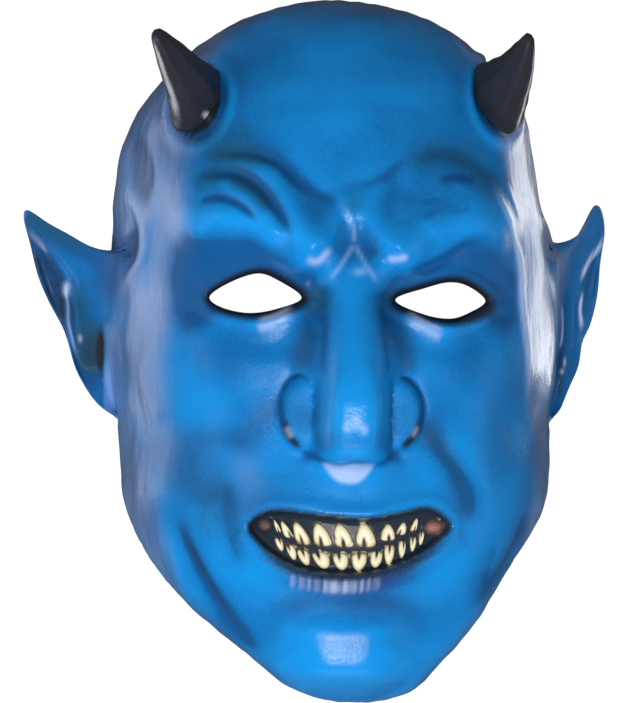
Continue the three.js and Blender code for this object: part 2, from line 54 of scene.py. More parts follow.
# %% [markdown]
# ## The head's own frame
# The sculptor works from the middle of the face, at the height between the eyes and the nose.
# The ears differ, so the box's middle is 8 mm beside that line. Everything below is in
# millimetres in the head's frame, and one function carries it to the shared frame in metres.

# %% From the head's frame to the shared frame
MM = 0.001
BOX_MIDDLE = np.array([-7.95, 2.4, 0.0])


def to_shared(points):
    return (np.asarray(points, float) - BOX_MIDDLE) * MM


left_box, right_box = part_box("horn_left"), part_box("horn_right")
midline = (left_box[0].x + right_box[1].x) / 2
print(f"midline between the horns {midline / MM:.2f} mm, from the frame's own shift {-BOX_MIDDLE[0]:.2f} mm")

# %% [markdown]
# ## Measuring tools
# A sculpted line is a smooth curve through a few named points. Every form needs to know how far
# a point of the skin is from such a curve, how far along it and on which side. NumPy measures
# all points of the skin at once, which is why these helpers work on whole arrays.


# %% Ramps and smooth curves
def ramp(low, high, x):
    t = np.clip((x - low) / (high - low), 0, 1)
    return t * t * (3 - 2 * t)


def smooth_line(points, closed=False, steps=8):
    """A Catmull-Rom curve through the points, as a finer row of points."""
    p = np.asarray(points, float)
    if closed:
        p = np.vstack([p[-1:], p, p[:2]])
    else:
        p = np.vstack([2 * p[0] - p[1], p, 2 * p[-1] - p[-2]])
    start, end = p[1:-2], p[2:-1]
    leave, arrive = (end - p[:-3]) / 2, (p[3:] - start) / 2
    rows = []
    for t in np.arange(steps) / steps:
        square = (3 * (end - start) - 2 * leave - arrive) * t ** 2
        cube = (2 * (start - end) + leave + arrive) * t ** 3
        rows.append(start + leave * t + square + cube)
    return np.vstack([np.stack(rows, 1).reshape(-1, p.shape[1]), p[-2]])


def profile(pairs, steps=40):
    """A function that reads a smooth profile of (place, value) pairs."""
    line = smooth_line(pairs, steps=steps)
    line = line[np.argsort(line[:, 0])]
    return lambda place: np.interp(place, line[:, 0], line[:, 1])


# %% Distance to a curve
def measure(line, x, y):
    """Distance to the line, the share of its length reached, and the side (+1 is left of travel)."""
    steps = np.diff(line, axis=0)
    lengths = np.hypot(steps[:, 0], steps[:, 1])
    run = np.concatenate([[0], np.cumsum(lengths)]) / lengths.sum()
    best = np.full(x.shape, np.inf)
    along = np.zeros(x.shape)
    side = np.ones(x.shape)
    for i, ((ax, ay), (dx, dy)) in enumerate(zip(line, steps)):
        t = np.clip(((x - ax) * dx + (y - ay) * dy) / lengths[i] ** 2, 0, 1)
        ex, ey = x - ax - t * dx, y - ay - t * dy
        distance = np.hypot(ex, ey)
        closer = distance < best
        best = np.where(closer, distance, best)
        along = np.where(closer, run[i] + t * (run[i + 1] - run[i]), along)
        side = np.where(closer, np.sign(dx * ey - dy * ex), side)
    return best, along, side


def depth_inside(line, x, y):
    """Depth inside a closed line, negative outside it."""
    distance, _, _ = measure(line, x, y)
    odd = np.zeros(x.shape, bool)
    for (ax, ay), (bx, by) in zip(line, line[1:]):
        if ay != by:
            odd ^= ((ay > y) != (by > y)) & (x < (bx - ax) * (y - ay) / (by - ay) + ax)
    return np.where(odd, distance, -distance)


# %% [markdown]
# ## Sculpting tools
# Clay is added in rolls and bumps and pushed in with creases, and a fleshy fold does both: it
# swells on one side of a line and drops into a crease along it. Each tool returns a function of
# (x, y) that gives the height it adds, so the same tools also lay down airbrushed paint later.


# %% Rolls, creases and folds
def stroke(points, reach, shape):
    """A tool that follows a line. Points further than its reach are left alone, which saves time."""
    line = smooth_line(points)
    left, bottom = line.min(0) - reach
    right, top = line.max(0) + reach

    def tool(x, y):
        near = (x > left) & (x < right) & (y > bottom) & (y < top)
        height = np.zeros(x.shape)
        height[near] = shape(*measure(line, x[near], y[near]))
        return height

    return tool


def fade(along, start, end):
    return ramp(0, start, along) * ramp(0, end, 1 - along)


def roll(points, width, height, start=0.3, end=0.3):
    return stroke(points, 3 * width, lambda distance, along, side:
                  height * fade(along, start, end) * np.exp(-(distance / width) ** 2))


def crease(points, width, depth, start=0.25, end=0.25, soft=1.1):
    return stroke(points, 6 * width, lambda distance, along, side:
                  -depth * fade(along, start, end) * np.exp((soft - np.hypot(distance, soft)) / width))


def fold(points, width, height, depth, swell_side, start, end):
    def shape(distance, along, side):
        swell = ramp(0, 0.7 * width, distance) * np.exp(-(distance / width) ** 2)
        cut = np.exp(-(distance / (0.32 * width)) ** 2)
        return fade(along, start, end) * (height * swell * (side == swell_side) - depth * cut)

    return stroke(points, 3 * width, shape)


# %% Bumps, patches and sums
def bump(cx, cy, rx, ry, height, power=1, turn=0):
    def tool(x, y):
        a = ((x - cx) * cos(turn) + (y - cy) * sin(turn)) / rx
        b = ((y - cy) * cos(turn) - (x - cx) * sin(turn)) / ry
        return height * np.exp(-((a * a + b * b) ** power))

    return tool


def patch(points, strength=1, outward=1, inward=1):
    """Fills a closed line, with its edge softened outward and inward by the given distances."""
    line = smooth_line(points, closed=True)
    return lambda x, y: strength * ramp(-outward, inward, depth_inside(line, x, y))


def mirrored(tool):
    return lambda x, y: tool(x, y) + tool(-x, y)


def total(tools, x, y):
    return sum(tool(x, y) for tool in tools)


# %% [markdown]
# ## The head without its features
# A subdivided box or a sculpted sphere would do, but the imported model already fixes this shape:
# a dome over the head's outline, with a low wall down to the rim. The same driving sizes are
# used here, so the fine skin lies on the same dome.

# %% Sizes of the head
FACE_TOP = 125
LATEX_THICK = 3
SIDE_WALL = {"side": 32, "crown": 38, "chin": 88}
SQUARENESS = {"side": 3.0, "crown": 2.35, "chin": 3.3}
SLOPE = {"side": 0.16, "crown": 0, "chin": 0.02}
TUCK = {"side": 4, "crown": 3, "chin": 13}
WALL_SHARE = 0.2
OUTLINE = [
    (0, 147.4), (17, 145.7), (32.4, 141.4), (45.6, 136.6), (58.4, 126.7), (68, 116.9), (78.2, 106.9),
    (84.8, 97), (88, 87.5), (88.8, 77), (90.9, 62), (94.3, 45), (95.3, 15), (92, -25), (88.8, -62),
    (82.4, -77.5), (74.8, -87.3), (67.1, -97), (57.9, -107), (48.4, -116.7), (37.6, -126.5), (25.8, -136.2),
    (18.4, -141.4), (0, -143.4),
]
LEAN = [
    (-146, 3.4), (-141, 3.6), (-136, 5), (-126, 1.9), (-117, 0.2), (-107, -1.5), (-95, -2.9),
    (-82, -1.8), (-66, -0.3), (-58, 0), (-35, 0.6), (-10, 0), (45, 0), (62, -2.4), (77, -3), (87, -2.8),
    (97, -1.9), (125, -1.3), (148, -0.5),
]


# %% Outline measured round from the crown
def from_crown(x, y):
    return atan2(x, y), float(np.hypot(x, y))


before_crown = from_crown(-OUTLINE[1][0], OUTLINE[1][1])
after_chin = from_crown(-OUTLINE[-2][0], OUTLINE[-2][1])
radius_from_crown = profile(
    [before_crown] + [from_crown(*point) for point in OUTLINE] + [(after_chin[0] + 2 * pi, after_chin[1])])

TURN_STEPS, SMOOTHED_STEPS = 3001, 18
turns = np.linspace(-pi, 2 * pi, TURN_STEPS)
rough_radii = radius_from_crown(np.abs((turns + pi) % (2 * pi) - pi))
smoothing = np.exp(-0.5 * (np.arange(-60, 61) / SMOOTHED_STEPS) ** 2)
even_radii = np.convolve(rough_radii, smoothing / smoothing.sum(), "same")


def outline_radius(direction):
    return np.interp(np.abs(np.arctan2(np.cos(direction), np.sin(direction))), turns, even_radii)


# %% How wide the head is at a height
def by_direction(sizes, direction):
    to_crown = ramp(0.25, 1, np.sin(direction))
    to_chin = ramp(0.35, 1, -np.sin(direction))
    return sizes["side"] * (1 - to_crown - to_chin) + sizes["crown"] * to_crown + sizes["chin"] * to_chin


def head_radius(direction, z):
    """Distance from the head's axis to its surface at a height over the rim."""
    widest = by_direction(SIDE_WALL, direction)
    radius = outline_radius(direction)
    tucked = radius - by_direction(TUCK, direction) * (1 - z / widest) ** 2
    n = by_direction(SQUARENESS, direction)
    rise = np.clip((z - widest) / (FACE_TOP - widest), 0, 1)
    leaning = radius * (1 - rise ** n) ** (1 / n) * (1 - by_direction(SLOPE, direction) * rise)
    return np.where(z <= widest, tucked, leaning)


def half_width(y, z):
    x = 90.0
    for _ in range(6):
        x = float(np.sqrt(head_radius(np.arctan2(y, x), z) ** 2 - y * y))
    return x


# %% The dome over the outline
lean = profile(LEAN)


def dome(p, q):
    """Points of the dome over a disc: (0, 0) is the middle of the face and radius 1 is the rim."""
    r = np.hypot(p, q)
    direction = np.arctan2(q, p)
    widest = by_direction(SIDE_WALL, direction)
    edge = 1 - WALL_SHARE
    n = by_direction(SQUARENESS, direction)
    turn = np.minimum(r / edge, 1) * pi / 2
    down = np.maximum(0, np.cos(turn))
    k = (np.sin(turn) ** n + down ** n) ** (-1 / n)
    rise = down * k
    front = outline_radius(direction) * np.sin(turn) * k * (1 - by_direction(SLOPE, direction) * rise)
    wall_z = widest * (1 - r) / WALL_SHARE
    wall = head_radius(direction, np.minimum(wall_z, widest))
    on_wall = r > edge
    rho = np.where(on_wall, wall, front)
    z = np.where(on_wall, wall_z, widest + (FACE_TOP - widest) * rise)
    x, y = rho * np.cos(direction), rho * np.sin(direction)
    return np.stack([x + lean(y) * ramp(0.3, 0.8, r), y, z], -1)


def dome_normal(p, q, step=0.004):
    across = dome(p + step, q) - dome(p - step, q)
    up = dome(p, q + step) - dome(p, q - step)
    normal = np.cross(across, up)
    return normal / np.linalg.norm(normal, axis=-1, keepdims=True)


# %% [markdown]
# ## The sculpted face
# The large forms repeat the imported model's: scowling brows, deep sockets, a long nose with round
# wings, cheek folds, a grinning mouth and a heavy chin. Between them come the finer creases that
# only this mesh has, such as the forked ridge between the brows and the bags under the eyes.

# %% Openings
EYE_LEFT = [
    (-55.6, 22), (-47.6, 27.6), (-36.7, 31.2), (-28.6, 28.6), (-19, 21.6), (-28.6, 17.2), (-40, 15.4),
    (-50.9, 17.7),
]
EYE_RIGHT = [
    (18.3, 20.6), (30.6, 25.4), (41, 27.8), (49, 26.2), (56.1, 20.5), (49.5, 15.8), (41, 13.2), (30, 14.8),
]
MOUTH = [
    (-40.8, -69.7), (-36.5, -64.9), (-28, -62.9), (-6.2, -65.3), (6.6, -66.1), (20, -63.7), (30, -62.2),
    (36.2, -64.8), (39.8, -70.1), (35.3, -75.2), (28, -80.5), (20, -84.3), (10, -87.6), (-2, -88.6),
    (-13.7, -87.9), (-23, -85.4), (-31, -80.9), (-37.3, -75.3),
]
MOUTH_DEPTH = 5.5
eye_lines = [smooth_line(EYE_LEFT, closed=True), smooth_line(EYE_RIGHT, closed=True)]
mouth_line = smooth_line(MOUTH, closed=True)

# %% The large forms
LEFT_BROW = [(-72, 44), (-56, 53), (-38, 55), (-20, 46), (-8, 38)]
RIGHT_BROW = [(72, 44), (56, 52), (40, 53), (23, 46), (12, 37)]
LEFT_CHEEK_FOLD = [
    (-24, -11), (-29, -21), (-39, -32), (-46, -41), (-49, -51), (-48, -66), (-46.6, -78), (-43, -90),
]
RIGHT_CHEEK_FOLD = [(28, -30), (34.4, -39), (40.8, -47), (46.2, -55), (48.5, -65), (49, -80)]
LEFT_JAW = [(-70, -62), (-65.6, -76), (-59, -90.4), (-51.2, -102), (-41, -116), (-32.8, -125.2)]
RIGHT_JAW = [(78, -60), (72, -75), (58, -95), (50, -106)]
large_forms = [
    bump(0, 92, 52, 30, 3),
    roll(LEFT_BROW, 12, 6.5, 0.2, 0.12),
    roll(RIGHT_BROW, 12, 6.5, 0.2, 0.12),
    bump(-14, 40, 10, 9, 3.8, 1.4, -0.5),
    bump(18.2, 39, 10, 9, 3.8, 1.4, 0.4),
    bump(1.5, 57, 7, 8, 2),
    bump(1.5, 40, 9, 10, -1),
    bump(-40, 22, 24, 14, -6.5, 1.2),
    bump(40, 20, 24, 14, -6.5, 1.2),
    bump(-17.5, 23, 7, 10, -4),
    bump(19, 21, 7, 10, -4),
    mirrored(bump(58, -8, 20, 20, 4, 1, -0.4)),
    mirrored(bump(66, -60, 14, 26, -2.5)),
    mirrored(bump(78, 74, 13, 28, -3)),
    fold(LEFT_CHEEK_FOLD, 18, 0.6, 0.2, -1, 0.4, 0.35),
    fold(RIGHT_CHEEK_FOLD, 18, 2, 0.5, 1, 0.4, 0.3),
    crease(LEFT_JAW, 4, 2.2),
    crease(RIGHT_JAW, 4, 2.2),
    bump(0, -70, 40, 27, 7.5, 1.4),
    bump(-1, -45, 13, 8.5, 4.2, 1.3),
]
CHIN_HEIGHT = [
    (-142, 0), (-140, 0.1), (-137, 1.4), (-134, 4.6), (-131, 8.4), (-128, 10.4), (-125, 10.2),
    (-122, 9.4), (-119, 8.7), (-116, 8), (-113, 7.4), (-110, 6.2), (-107, 4.4), (-104, 2.6),
    (-100, 0.8), (-96, 0),
]
chin_height = profile(CHIN_HEIGHT)


def chin(x, y):
    """A flat, square chin that narrows where it turns under the jaw."""
    half = 24 - 6 * ramp(-124, -138, y)
    return chin_height(y) * np.exp(-np.abs((x + 2.5) / half) ** 4)


# %% Brow folds
LEFT_CREASE_UPPER = [(-57, 77), (-48, 80), (-37, 79), (-28, 75.5), (-22.3, 69.4), (-15.7, 62)]
LEFT_CREASE_MIDDLE = [
    (-62, 66), (-57, 70.6), (-49, 72), (-41.3, 70), (-34.7, 64.5), (-29.7, 57.2), (-26, 50.3), (-23.6, 44),
]
LEFT_CREASE_LOWER = [(-63, 57), (-57, 60.7), (-51.3, 61.4), (-45.5, 59.2), (-40.5, 55.2), (-37, 50.3)]
LEFT_ROLL_UPPER = [(-49, 76), (-39.3, 74), (-31.5, 68.5), (-25.7, 60.4), (-20.8, 51.5), (-14.4, 43)]
LEFT_ROLL_MIDDLE = [(-57, 65), (-49.3, 66), (-41.6, 62.4), (-35, 55.4), (-30, 47.5), (-23, 40.4)]
LEFT_ROLL_LOWER = [(-61, 52.6), (-51.5, 55), (-41.7, 51.6), (-32.6, 45), (-24, 38.6)]
RIGHT_BROW_TOP = [(20, 74.4), (29, 78.2), (39.4, 79.2), (49.7, 75), (58, 67.4), (62.5, 59)]
RIGHT_CREASE = [(35, 67.2), (40, 69.7), (46, 69.8), (52.6, 67.5)]
RIGHT_LID_CREASE = [(56, 46), (47, 42.4), (38, 37), (30, 33.4), (20, 31)]
RIGHT_WRINKLES = [
    [(28.6, 58.6), (33, 60.7), (36.8, 61.9)], [(28.3, 52.5), (32, 55.4), (36.6, 57.8)],
    [(40.5, 56.2), (45, 56.7), (49.8, 58)],
]
GLABELLA_LEFT = [(-8.6, 65.5), (-3.8, 57), (-1.0, 48.5), (-3.4, 38), (-9.6, 28)]
GLABELLA_RIGHT = [(8.4, 65.5), (5.8, 56.5), (4.7, 49), (7.4, 40), (13.6, 31)]
BROW_LINE_LEFT = [(-21, 70.5), (-16.9, 65.8), (-12.4, 62.6), (-8.6, 60.6), (-5.4, 57)]
BROW_LINE = [(-10, 61.6), (-4, 64.2), (2, 66), (8.1, 67.3), (15.4, 71.4), (20.8, 76), (27, 80)]
brow_folds = [
    roll(LEFT_ROLL_UPPER, 5.4, 3.4, 0.3, 0.25),
    roll(LEFT_ROLL_MIDDLE, 4.4, 2.8, 0.3, 0.25),
    roll(LEFT_ROLL_LOWER, 4.6, 2, 0.3, 0.3),
    roll(LEFT_CREASE_UPPER, 2.2, -2, 0.3, 0.3),
    roll(LEFT_CREASE_MIDDLE, 2.2, -2.4, 0.3, 0.3),
    roll(LEFT_CREASE_LOWER, 1.6, -1.3, 0.3, 0.3),
    roll([(20, 60), (29, 67), (42, 67), (53, 60), (60, 50)], 8, 2.2),
    roll([(24, 46), (38, 50), (52, 50), (62, 44)], 7, 1.6),
    roll(RIGHT_BROW_TOP, 5, -0.8),
    roll(RIGHT_CREASE, 2, -0.9),
    roll(RIGHT_LID_CREASE, 2.2, -1.6, 0.35, 0.4),
    roll(GLABELLA_LEFT, 4.6, -0.7),
    roll(GLABELLA_RIGHT, 4.6, -0.7),
    roll(BROW_LINE, 3, -0.6),
    roll(BROW_LINE_LEFT, 3, -0.5),
] + [roll(wrinkle, 1.3, -0.5) for wrinkle in RIGHT_WRINKLES]

# %% The forked ridge, the eyes' corners, the bags and the fine wrinkles
RIDGE_STEM = [(-5.1, 60.6), (-0.4, 53.6), (1.2, 48), (1.4, 42.9)]
RIDGE_LEFT = [(1.4, 43.2), (-3.8, 35), (-9.6, 27.4)]
RIDGE_RIGHT = [(1.4, 43.2), (5.2, 35.3), (11.5, 26.2)]
nose_root = [
    roll(RIDGE_STEM, 1.2, 0.7, 0.5, 0.12),
    roll(RIDGE_LEFT, 1.2, 0.7, 0.12, 0.3),
    roll(RIDGE_RIGHT, 1.2, 0.7, 0.12, 0.3),
    bump(3, 33, 4, 3.5, 1.4),
]
eye_corners = [
    crease([(-19, 19), (-14.5, 17), (-10, 12)], 1, 0.8),
    crease([(-18, 22.5), (-13.6, 22), (-9.6, 18.4)], 1, 0.8),
    crease([(-20, 16), (-17, 12), (-14, 4)], 1.3, 0.9),
    crease([(18, 19), (14.4, 17.6), (11.8, 13)], 1, 0.8),
    crease([(18, 22.5), (15, 23.5), (12, 20.4)], 1, 0.7),
    crease([(20, 15), (17.5, 11), (15.5, 4)], 1.3, 0.9),
]
LEFT_BAG = [(-46, 12.5), (-36, 10.5), (-27, 13), (-19, 17.5)]
RIGHT_BAG = [(18, 16.5), (26, 11.5), (35, 8.5), (47, 9.5)]
eye_bags = [
    roll([(-54, 12), (-44, 4), (-30, 2), (-18, 8)], 4.5, -1),
    roll([(18, 7), (30, 1), (46, 2), (57, 11)], 4.5, -1),
    roll(LEFT_BAG, 4.5, 2),
    roll(RIGHT_BAG, 4.5, 2),
    crease([(-57, 23), (-62, 23.6), (-67, 27)], 1.8, 0.8),
    crease([(-56, 19), (-61, 16.5), (-66, 16)], 1.8, 0.7),
    crease([(57, 21.5), (62.5, 21.5), (68, 25)], 1.8, 0.8),
    crease([(57, 18), (62, 14.5), (67, 13)], 1.8, 0.7),
]
face_wrinkles = [
    crease([(-62, -20), (-64, -36), (-61, -52)], 4, 0.7),
    crease([(63, -22), (66, -38), (62, -56)], 4, 0.7),
    crease([(60.4, -76), (57.5, -86), (53.5, -95)], 2.2, 1.2),
    crease([(-50, 95), (-20, 101), (14, 100), (46, 94)], 4.5, 0.7),
    crease([(-44, 110), (-16, 115), (16, 114), (40, 109)], 5, 0.5),
]

# %% The nose
NOSE_HEIGHT = [
    (-56, 0), (-52, 0.8), (-48, 2.6), (-46, 5), (-44, 11), (-42, 17.5), (-40, 21.6), (-38, 24.2),
    (-35, 26.2), (-30, 27.4), (-24, 28), (-19, 28.1), (-12, 26.8), (-5, 24.2), (3, 20.4), (10, 16.8),
    (18, 12.8), (25, 9.4), (40, 2.8), (52, 0),
]
NOSE_HALF_WIDTH = [
    (-56, 12.5), (-43, 14.2), (-33, 14.9), (-20, 14.9), (-5, 15), (8, 13.6), (25, 11), (52, 9),
]
WING_HEIGHT = 7.6
nose_height, nose_half_width = profile(NOSE_HEIGHT), profile(NOSE_HALF_WIDTH)


def wings(x, y):
    return (bump(-18.2, -23.8, 9.9, 15.0, WING_HEIGHT, 4.2, -0.08)(x, y)
            + bump(18.4, -24.4, 9.8, 14.8, WING_HEIGHT, 4.2, 0.08)(x, y))


def nose(x, y):
    """The bridge, which turns from a soft ridge into a boxy tip, and the wings on both its sides."""
    across = np.abs(x - 1.6 + 2 * ramp(20, -35, y)) / nose_half_width(y)
    bridge = nose_height(y) * np.exp(-across ** (2.3 + 2.3 * ramp(0, -22, y)))
    wing = wings(x, y)
    both = ramp(3, 9, np.minimum(bridge, wing))
    seam = 0.5 * np.clip(1 - np.abs(bridge - wing) / 4, 0, 1) ** 2 * both
    return np.maximum(bridge, wing) - seam


LEFT_WING_EDGE = [(-18.6, -8.7), (-24.2, -11), (-27.9, -17), (-28.4, -23), (-25.8, -31), (-21, -38.5)]
RIGHT_WING_EDGE = [(18.3, -10), (23.5, -12), (27.6, -17), (28.8, -23), (25.8, -31), (19.5, -38.5)]
NOSE_EDGE = [(-21, -39), (-8, -44.4), (1, -43.4), (10, -44.4), (19.5, -39)]
nose_details = [
    bump(1, -44.5, 2, 3, 1.2),
    bump(-16.5, -41.5, 4, 2.4, -1.2, 1, 0.5),
    bump(17, -41.5, 4, 2.4, -1.2, 1, -0.5),
    crease(LEFT_WING_EDGE, 1.1, 0.8, 0.15, 0.15),
    crease(RIGHT_WING_EDGE, 1.1, 0.8, 0.15, 0.15),
]


# %% Lids and mouth
def lid(x, y):
    swell = 0
    for line in eye_lines:
        depth = depth_inside(line, x, y)
        swell = swell + 1.8 * np.exp(-(((depth + 3.4) / 2.6) ** 2)) - 1.6 * ramp(-1.6, 1.2, depth)
    return swell


def mouth(x, y):
    depth = depth_inside(mouth_line, x, y)
    lower = ramp(-70, -84, y)
    lip = (1 + 1.8 * lower) * np.exp(-(((depth + 3 + 0.8 * lower) / (2.8 + lower)) ** 2))
    return lip - MOUTH_DEPTH * ramp(-0.8, 2.4, depth)


# %% The knobs in the corners and the lower lip's wrinkles
mouth_corners = [
    bump(33.6, -70, 3.6, 2.7, 4.2, 1.5),
    bump(-34, -69, 2.8, 2.6, 3, 1.5),
    bump(0, -64.4, 30, 1.8, 0.8),
    crease([(-42, -70), (-46, -73), (-47, -79)], 1.6, 0.7),
    crease([(42, -70.6), (45.5, -73), (46.5, -79)], 1.6, 0.7),
]
LIP_WRINKLES = [-23.5, -20, -17.2, -14, -10.6, -8.6, -6.4, -2.4, 0.6, 3.8, 6.8, 9.8]


def lip_wrinkle(x):
    """A short line down over the lower lip."""
    top = -90.4 + 0.006 * (x + 4) ** 2
    return [(x, top + 0.6), (x + 0.2, top - 3), (x + 0.1, top - 6.6)]


lip_wrinkles = [roll(lip_wrinkle(x), 0.9, 0.3) for x in LIP_WRINKLES]

# %% The horns' seats
HORN_LINES = {  # root, bend and tip, with the distance from the midline first
    -1: [(59.1, 101.2, 86), (66.5, 111.5, 104), (78.0, 127.6, 116)],
    1: [(63.6, 103.8, 86), (70.4, 112, 105), (73.0, 126.4, 116)],
}
HORN_LONG, HORN_WIDE = 15.8, 10.8
HORN_LEAN = {-1: (-0.25, 0.97), 1: (-0.1, 0.995)}
SEAT_LIP, SEAT_WIDTH, SEAT_DEPTH = 1.6, 2.2, 1.2


def past_horn(x, y):
    """Distance outside the horn's root, from above."""
    past = []
    for side in (-1, 1):
        dx, dy = side * x - HORN_LINES[side][0][0], y - HORN_LINES[side][0][1]
        lean_x, lean_y = HORN_LEAN[side]
        long, wide = dx * lean_x + dy * lean_y, dx * lean_y - dy * lean_x
        past.append((np.hypot(long / HORN_LONG, wide / HORN_WIDE) - 1) * HORN_WIDE)
    return np.minimum(*past)


def horn_seat(x, y):
    past = past_horn(x, y)
    lip = SEAT_LIP * np.exp(-(((past - SEAT_WIDTH) / SEAT_WIDTH) ** 2))
    return lip - SEAT_DEPTH * ramp(SEAT_WIDTH, -SEAT_WIDTH, past)


# %% [markdown]
# ## Uneven latex
# Latex is poured into a plaster mould and pulled out soft, so its sides are never quite even.
# A few dozen waves in random directions, added up, give such a slow unevenness. The seed makes
# them the same each run. A displacement texture could do it too, but not only on the sides.


# %% Slow waves
def waves(points, size, seed, count=40):
    """A smooth random field of about unit height, with swells of the given size."""
    random = np.random.default_rng(seed)
    directions = random.normal(size=(count, 3))
    directions /= np.linalg.norm(directions, axis=1, keepdims=True)
    directions *= 2 * pi / (size * random.uniform(0.7, 1.6, (count, 1)))
    return np.sin(points @ directions.T + random.uniform(0, 2 * pi, count)).sum(-1) / (count / 2) ** 0.5


UNEVEN = [
    # size of the swells, seed, height on the front, more height on the sides, stretch down the face
    (26, 4, 0.08, 0.3, 1), (7, 9, 0.02, 0.1, 0.35),
]
SIDES_BELOW, SIDES_FULL = 100, 78
TURNS_BELOW, TURNED = 112, 84
RIM_FADE = 0.86

# %% Hollows of the sides, and the whole relief
TEMPLE_EDGE = [(-91, 71.5), (-86.5, 59.3), (-82.7, 49), (-82.9, 38.3), (-87.4, 29.6), (-91.4, 18.3)]
RIGHT_PLANE_EDGE = [
    (58, 70), (60.5, 63.3), (64.5, 55), (68.4, 45.3), (71.2, 36), (72, 22), (73, 6), (74, -12), (73.5, -24),
]
side_hollows = [
    bump(-84.5, 76, 4.2, 16, -2, 1.5, 0.1),
    roll([(-88, 55), (-87, 44), (-90, 33)], 2.6, -1.4),
    roll(TEMPLE_EDGE, 1.8, 1.3, 0.15, 0.3),
    roll([(88, 54), (87, 42), (91, 28)], 3, -1.4),
    roll(RIGHT_PLANE_EDGE, 1.5, 1, 0.15, 0.3),
    roll([(64.5, 70), (68, 60), (71, 50)], 1, 0.7),
]

face_forms = [
    *large_forms, *brow_folds, *nose_root, *eye_corners, *eye_bags, *face_wrinkles, chin, nose, *nose_details,
    lid, mouth, horn_seat, *mouth_corners, *lip_wrinkles, *side_hollows,
]
print("forms on the face:", len(face_forms))


def relief(x, y):
    return total(face_forms, x, y)


# %% Raise the relief off the dome
def side_share(points):
    """0 on the front of the face, 1 on the side planes."""
    x, y, z = np.moveaxis(points, -1, 0)
    return ramp(SIDES_BELOW, SIDES_FULL, z + 0.1 * y)


def lift(p, q, points, height):
    """Raises points straight up on the face, and square to the dome where it turns down to the rim."""
    turned = ramp(TURNS_BELOW, TURNED, points[..., 2])[..., None]
    direction = dome_normal(p, q) * turned + np.array([0, 0, 1]) * (1 - turned)
    return points + direction * (height * ramp(1, RIM_FADE, np.hypot(p, q)))[..., None]


def skin(p, q):
    points = dome(p, q)
    sides = side_share(points)
    height = relief(points[..., 0], points[..., 1])
    for size, seed, even, more, stretch in UNEVEN:
        height = height + (even + more * sides) * waves(points * np.array([1, stretch, 1]), size, seed)
    return lift(p, q, points, height)


def lining(p, q, reach=4.5):
    """The back of the casting is smoother: it keeps under the lowest form within reach."""
    points = dome(p, q)
    x, y = points[..., 0], points[..., 1]
    lowest = relief(x, y)
    for turn in np.arange(12) * pi / 6:
        lowest = np.minimum(lowest, relief(x + reach * cos(turn), y + reach * sin(turn)))
    return lift(p, q, points, lowest) - dome_normal(p, q) * LATEX_THICK


# %% [markdown]
# ## The skin's mesh
# The front is a grid of 240 by 308 cells, drawn out to a disc and laid on the dome, with its
# lines closer together over the face. The lining takes every fourth line, because nobody sees
# it, and a flat rim joins the two. It is one closed shell, like the casting.

# %% Grid lines, quads and borders
CELLS_ACROSS, CELLS_UP, LINING_STEP = 240, 308, 4


def grid_lines(count, weight):
    x = np.linspace(-1, 1, 801)
    run = np.concatenate([[0], np.cumsum(weight((x[1:] + x[:-1]) / 2))])
    return np.interp(np.linspace(0, run[-1], count + 1), run, x)


def lay(us, vs, place):
    """Lays a square of grid lines on the head, as rows of points."""
    u, v = np.meshgrid(us, vs)
    return place(u * np.sqrt(1 - v * v / 2), v * np.sqrt(1 - u * u / 2))


def quads(rows, columns, start=0):
    k = np.arange(rows * columns).reshape(rows, columns) + start
    return np.stack([k[:-1, :-1], k[:-1, 1:], k[1:, 1:], k[1:, :-1]], -1).reshape(-1, 4)


def border(rows, columns, start=0):
    """The grid's outermost points in a ring, to the left round its middle."""
    k = np.arange(rows * columns).reshape(rows, columns) + start
    return np.concatenate([k[0, :-1], k[:-1, -1], k[-1, :0:-1], k[:0:-1, 0]])


across = grid_lines(CELLS_ACROSS, lambda u: 0.5 + 1.3 * np.exp(-((u / 0.42) ** 8)))
upward = grid_lines(CELLS_UP, lambda v: 0.4 + 1.6 * np.exp(-(((v + 0.04) / 0.38) ** 8)))
front = lay(across, upward, skin)
back = lay(across[::LINING_STEP], upward[::LINING_STEP], lining)
print(f"front {front.shape[1]} x {front.shape[0]} points, lining {back.shape[1]} x {back.shape[0]}")


# %% Pieces and closed solids
def new_piece(name, points, faces):
    mesh = bpy.data.meshes.new(name)
    mesh.from_pydata(to_shared(points).tolist(), [], faces)
    piece = bpy.data.objects.new(name, mesh)
    bpy.context.scene.collection.objects.link(piece)
    return piece


def block_under(sheet, floor):
    """Points and faces of a closed block between a sheet of points and a flat floor."""
    top, ring = sheet.reshape(-1, 3), border(*sheet.shape[:2])
    foot = top[ring].copy()
    foot[:, 2] = floor
    count = len(top)
    faces = quads(*sheet.shape[:2]).tolist()
    for i, k in enumerate(ring):
        j = (i + 1) % len(ring)
        faces.append((int(k), count + i, count + j, int(ring[j])))
    faces.append(tuple(range(count + len(ring) - 1, count - 1, -1)))
    return np.vstack([top, foot]), faces


def loft(rings, flip):
    """Faces of a closed solid through rings of equal length, with its two ends filled."""
    count, size = rings.shape[:2]
    faces = [(r + i, r + (i + 1) % size, r + (i + 1) % size + size, r + i + size)
             for r in range(0, (count - 1) * size, size) for i in range(size)]
    faces += [tuple(range(size - 1, -1, -1)), tuple(range((count - 1) * size, count * size))]
    return [face[::-1] for face in faces] if flip else faces


# %% Join the front and the lining at the rim
def rim_faces(outer, inner, step):
    faces = []
    for i, a in enumerate(inner):
        b = inner[(i + 1) % len(inner)]
        ring = [outer[(i * step + j) % len(outer)] for j in range(step + 1)]
        half = step // 2
        faces += [(a, ring[j + 1], ring[j]) for j in range(half)]
        faces.append((a, b, ring[half]))
        faces += [(b, ring[j + 1], ring[j]) for j in range(half, step)]
    return faces


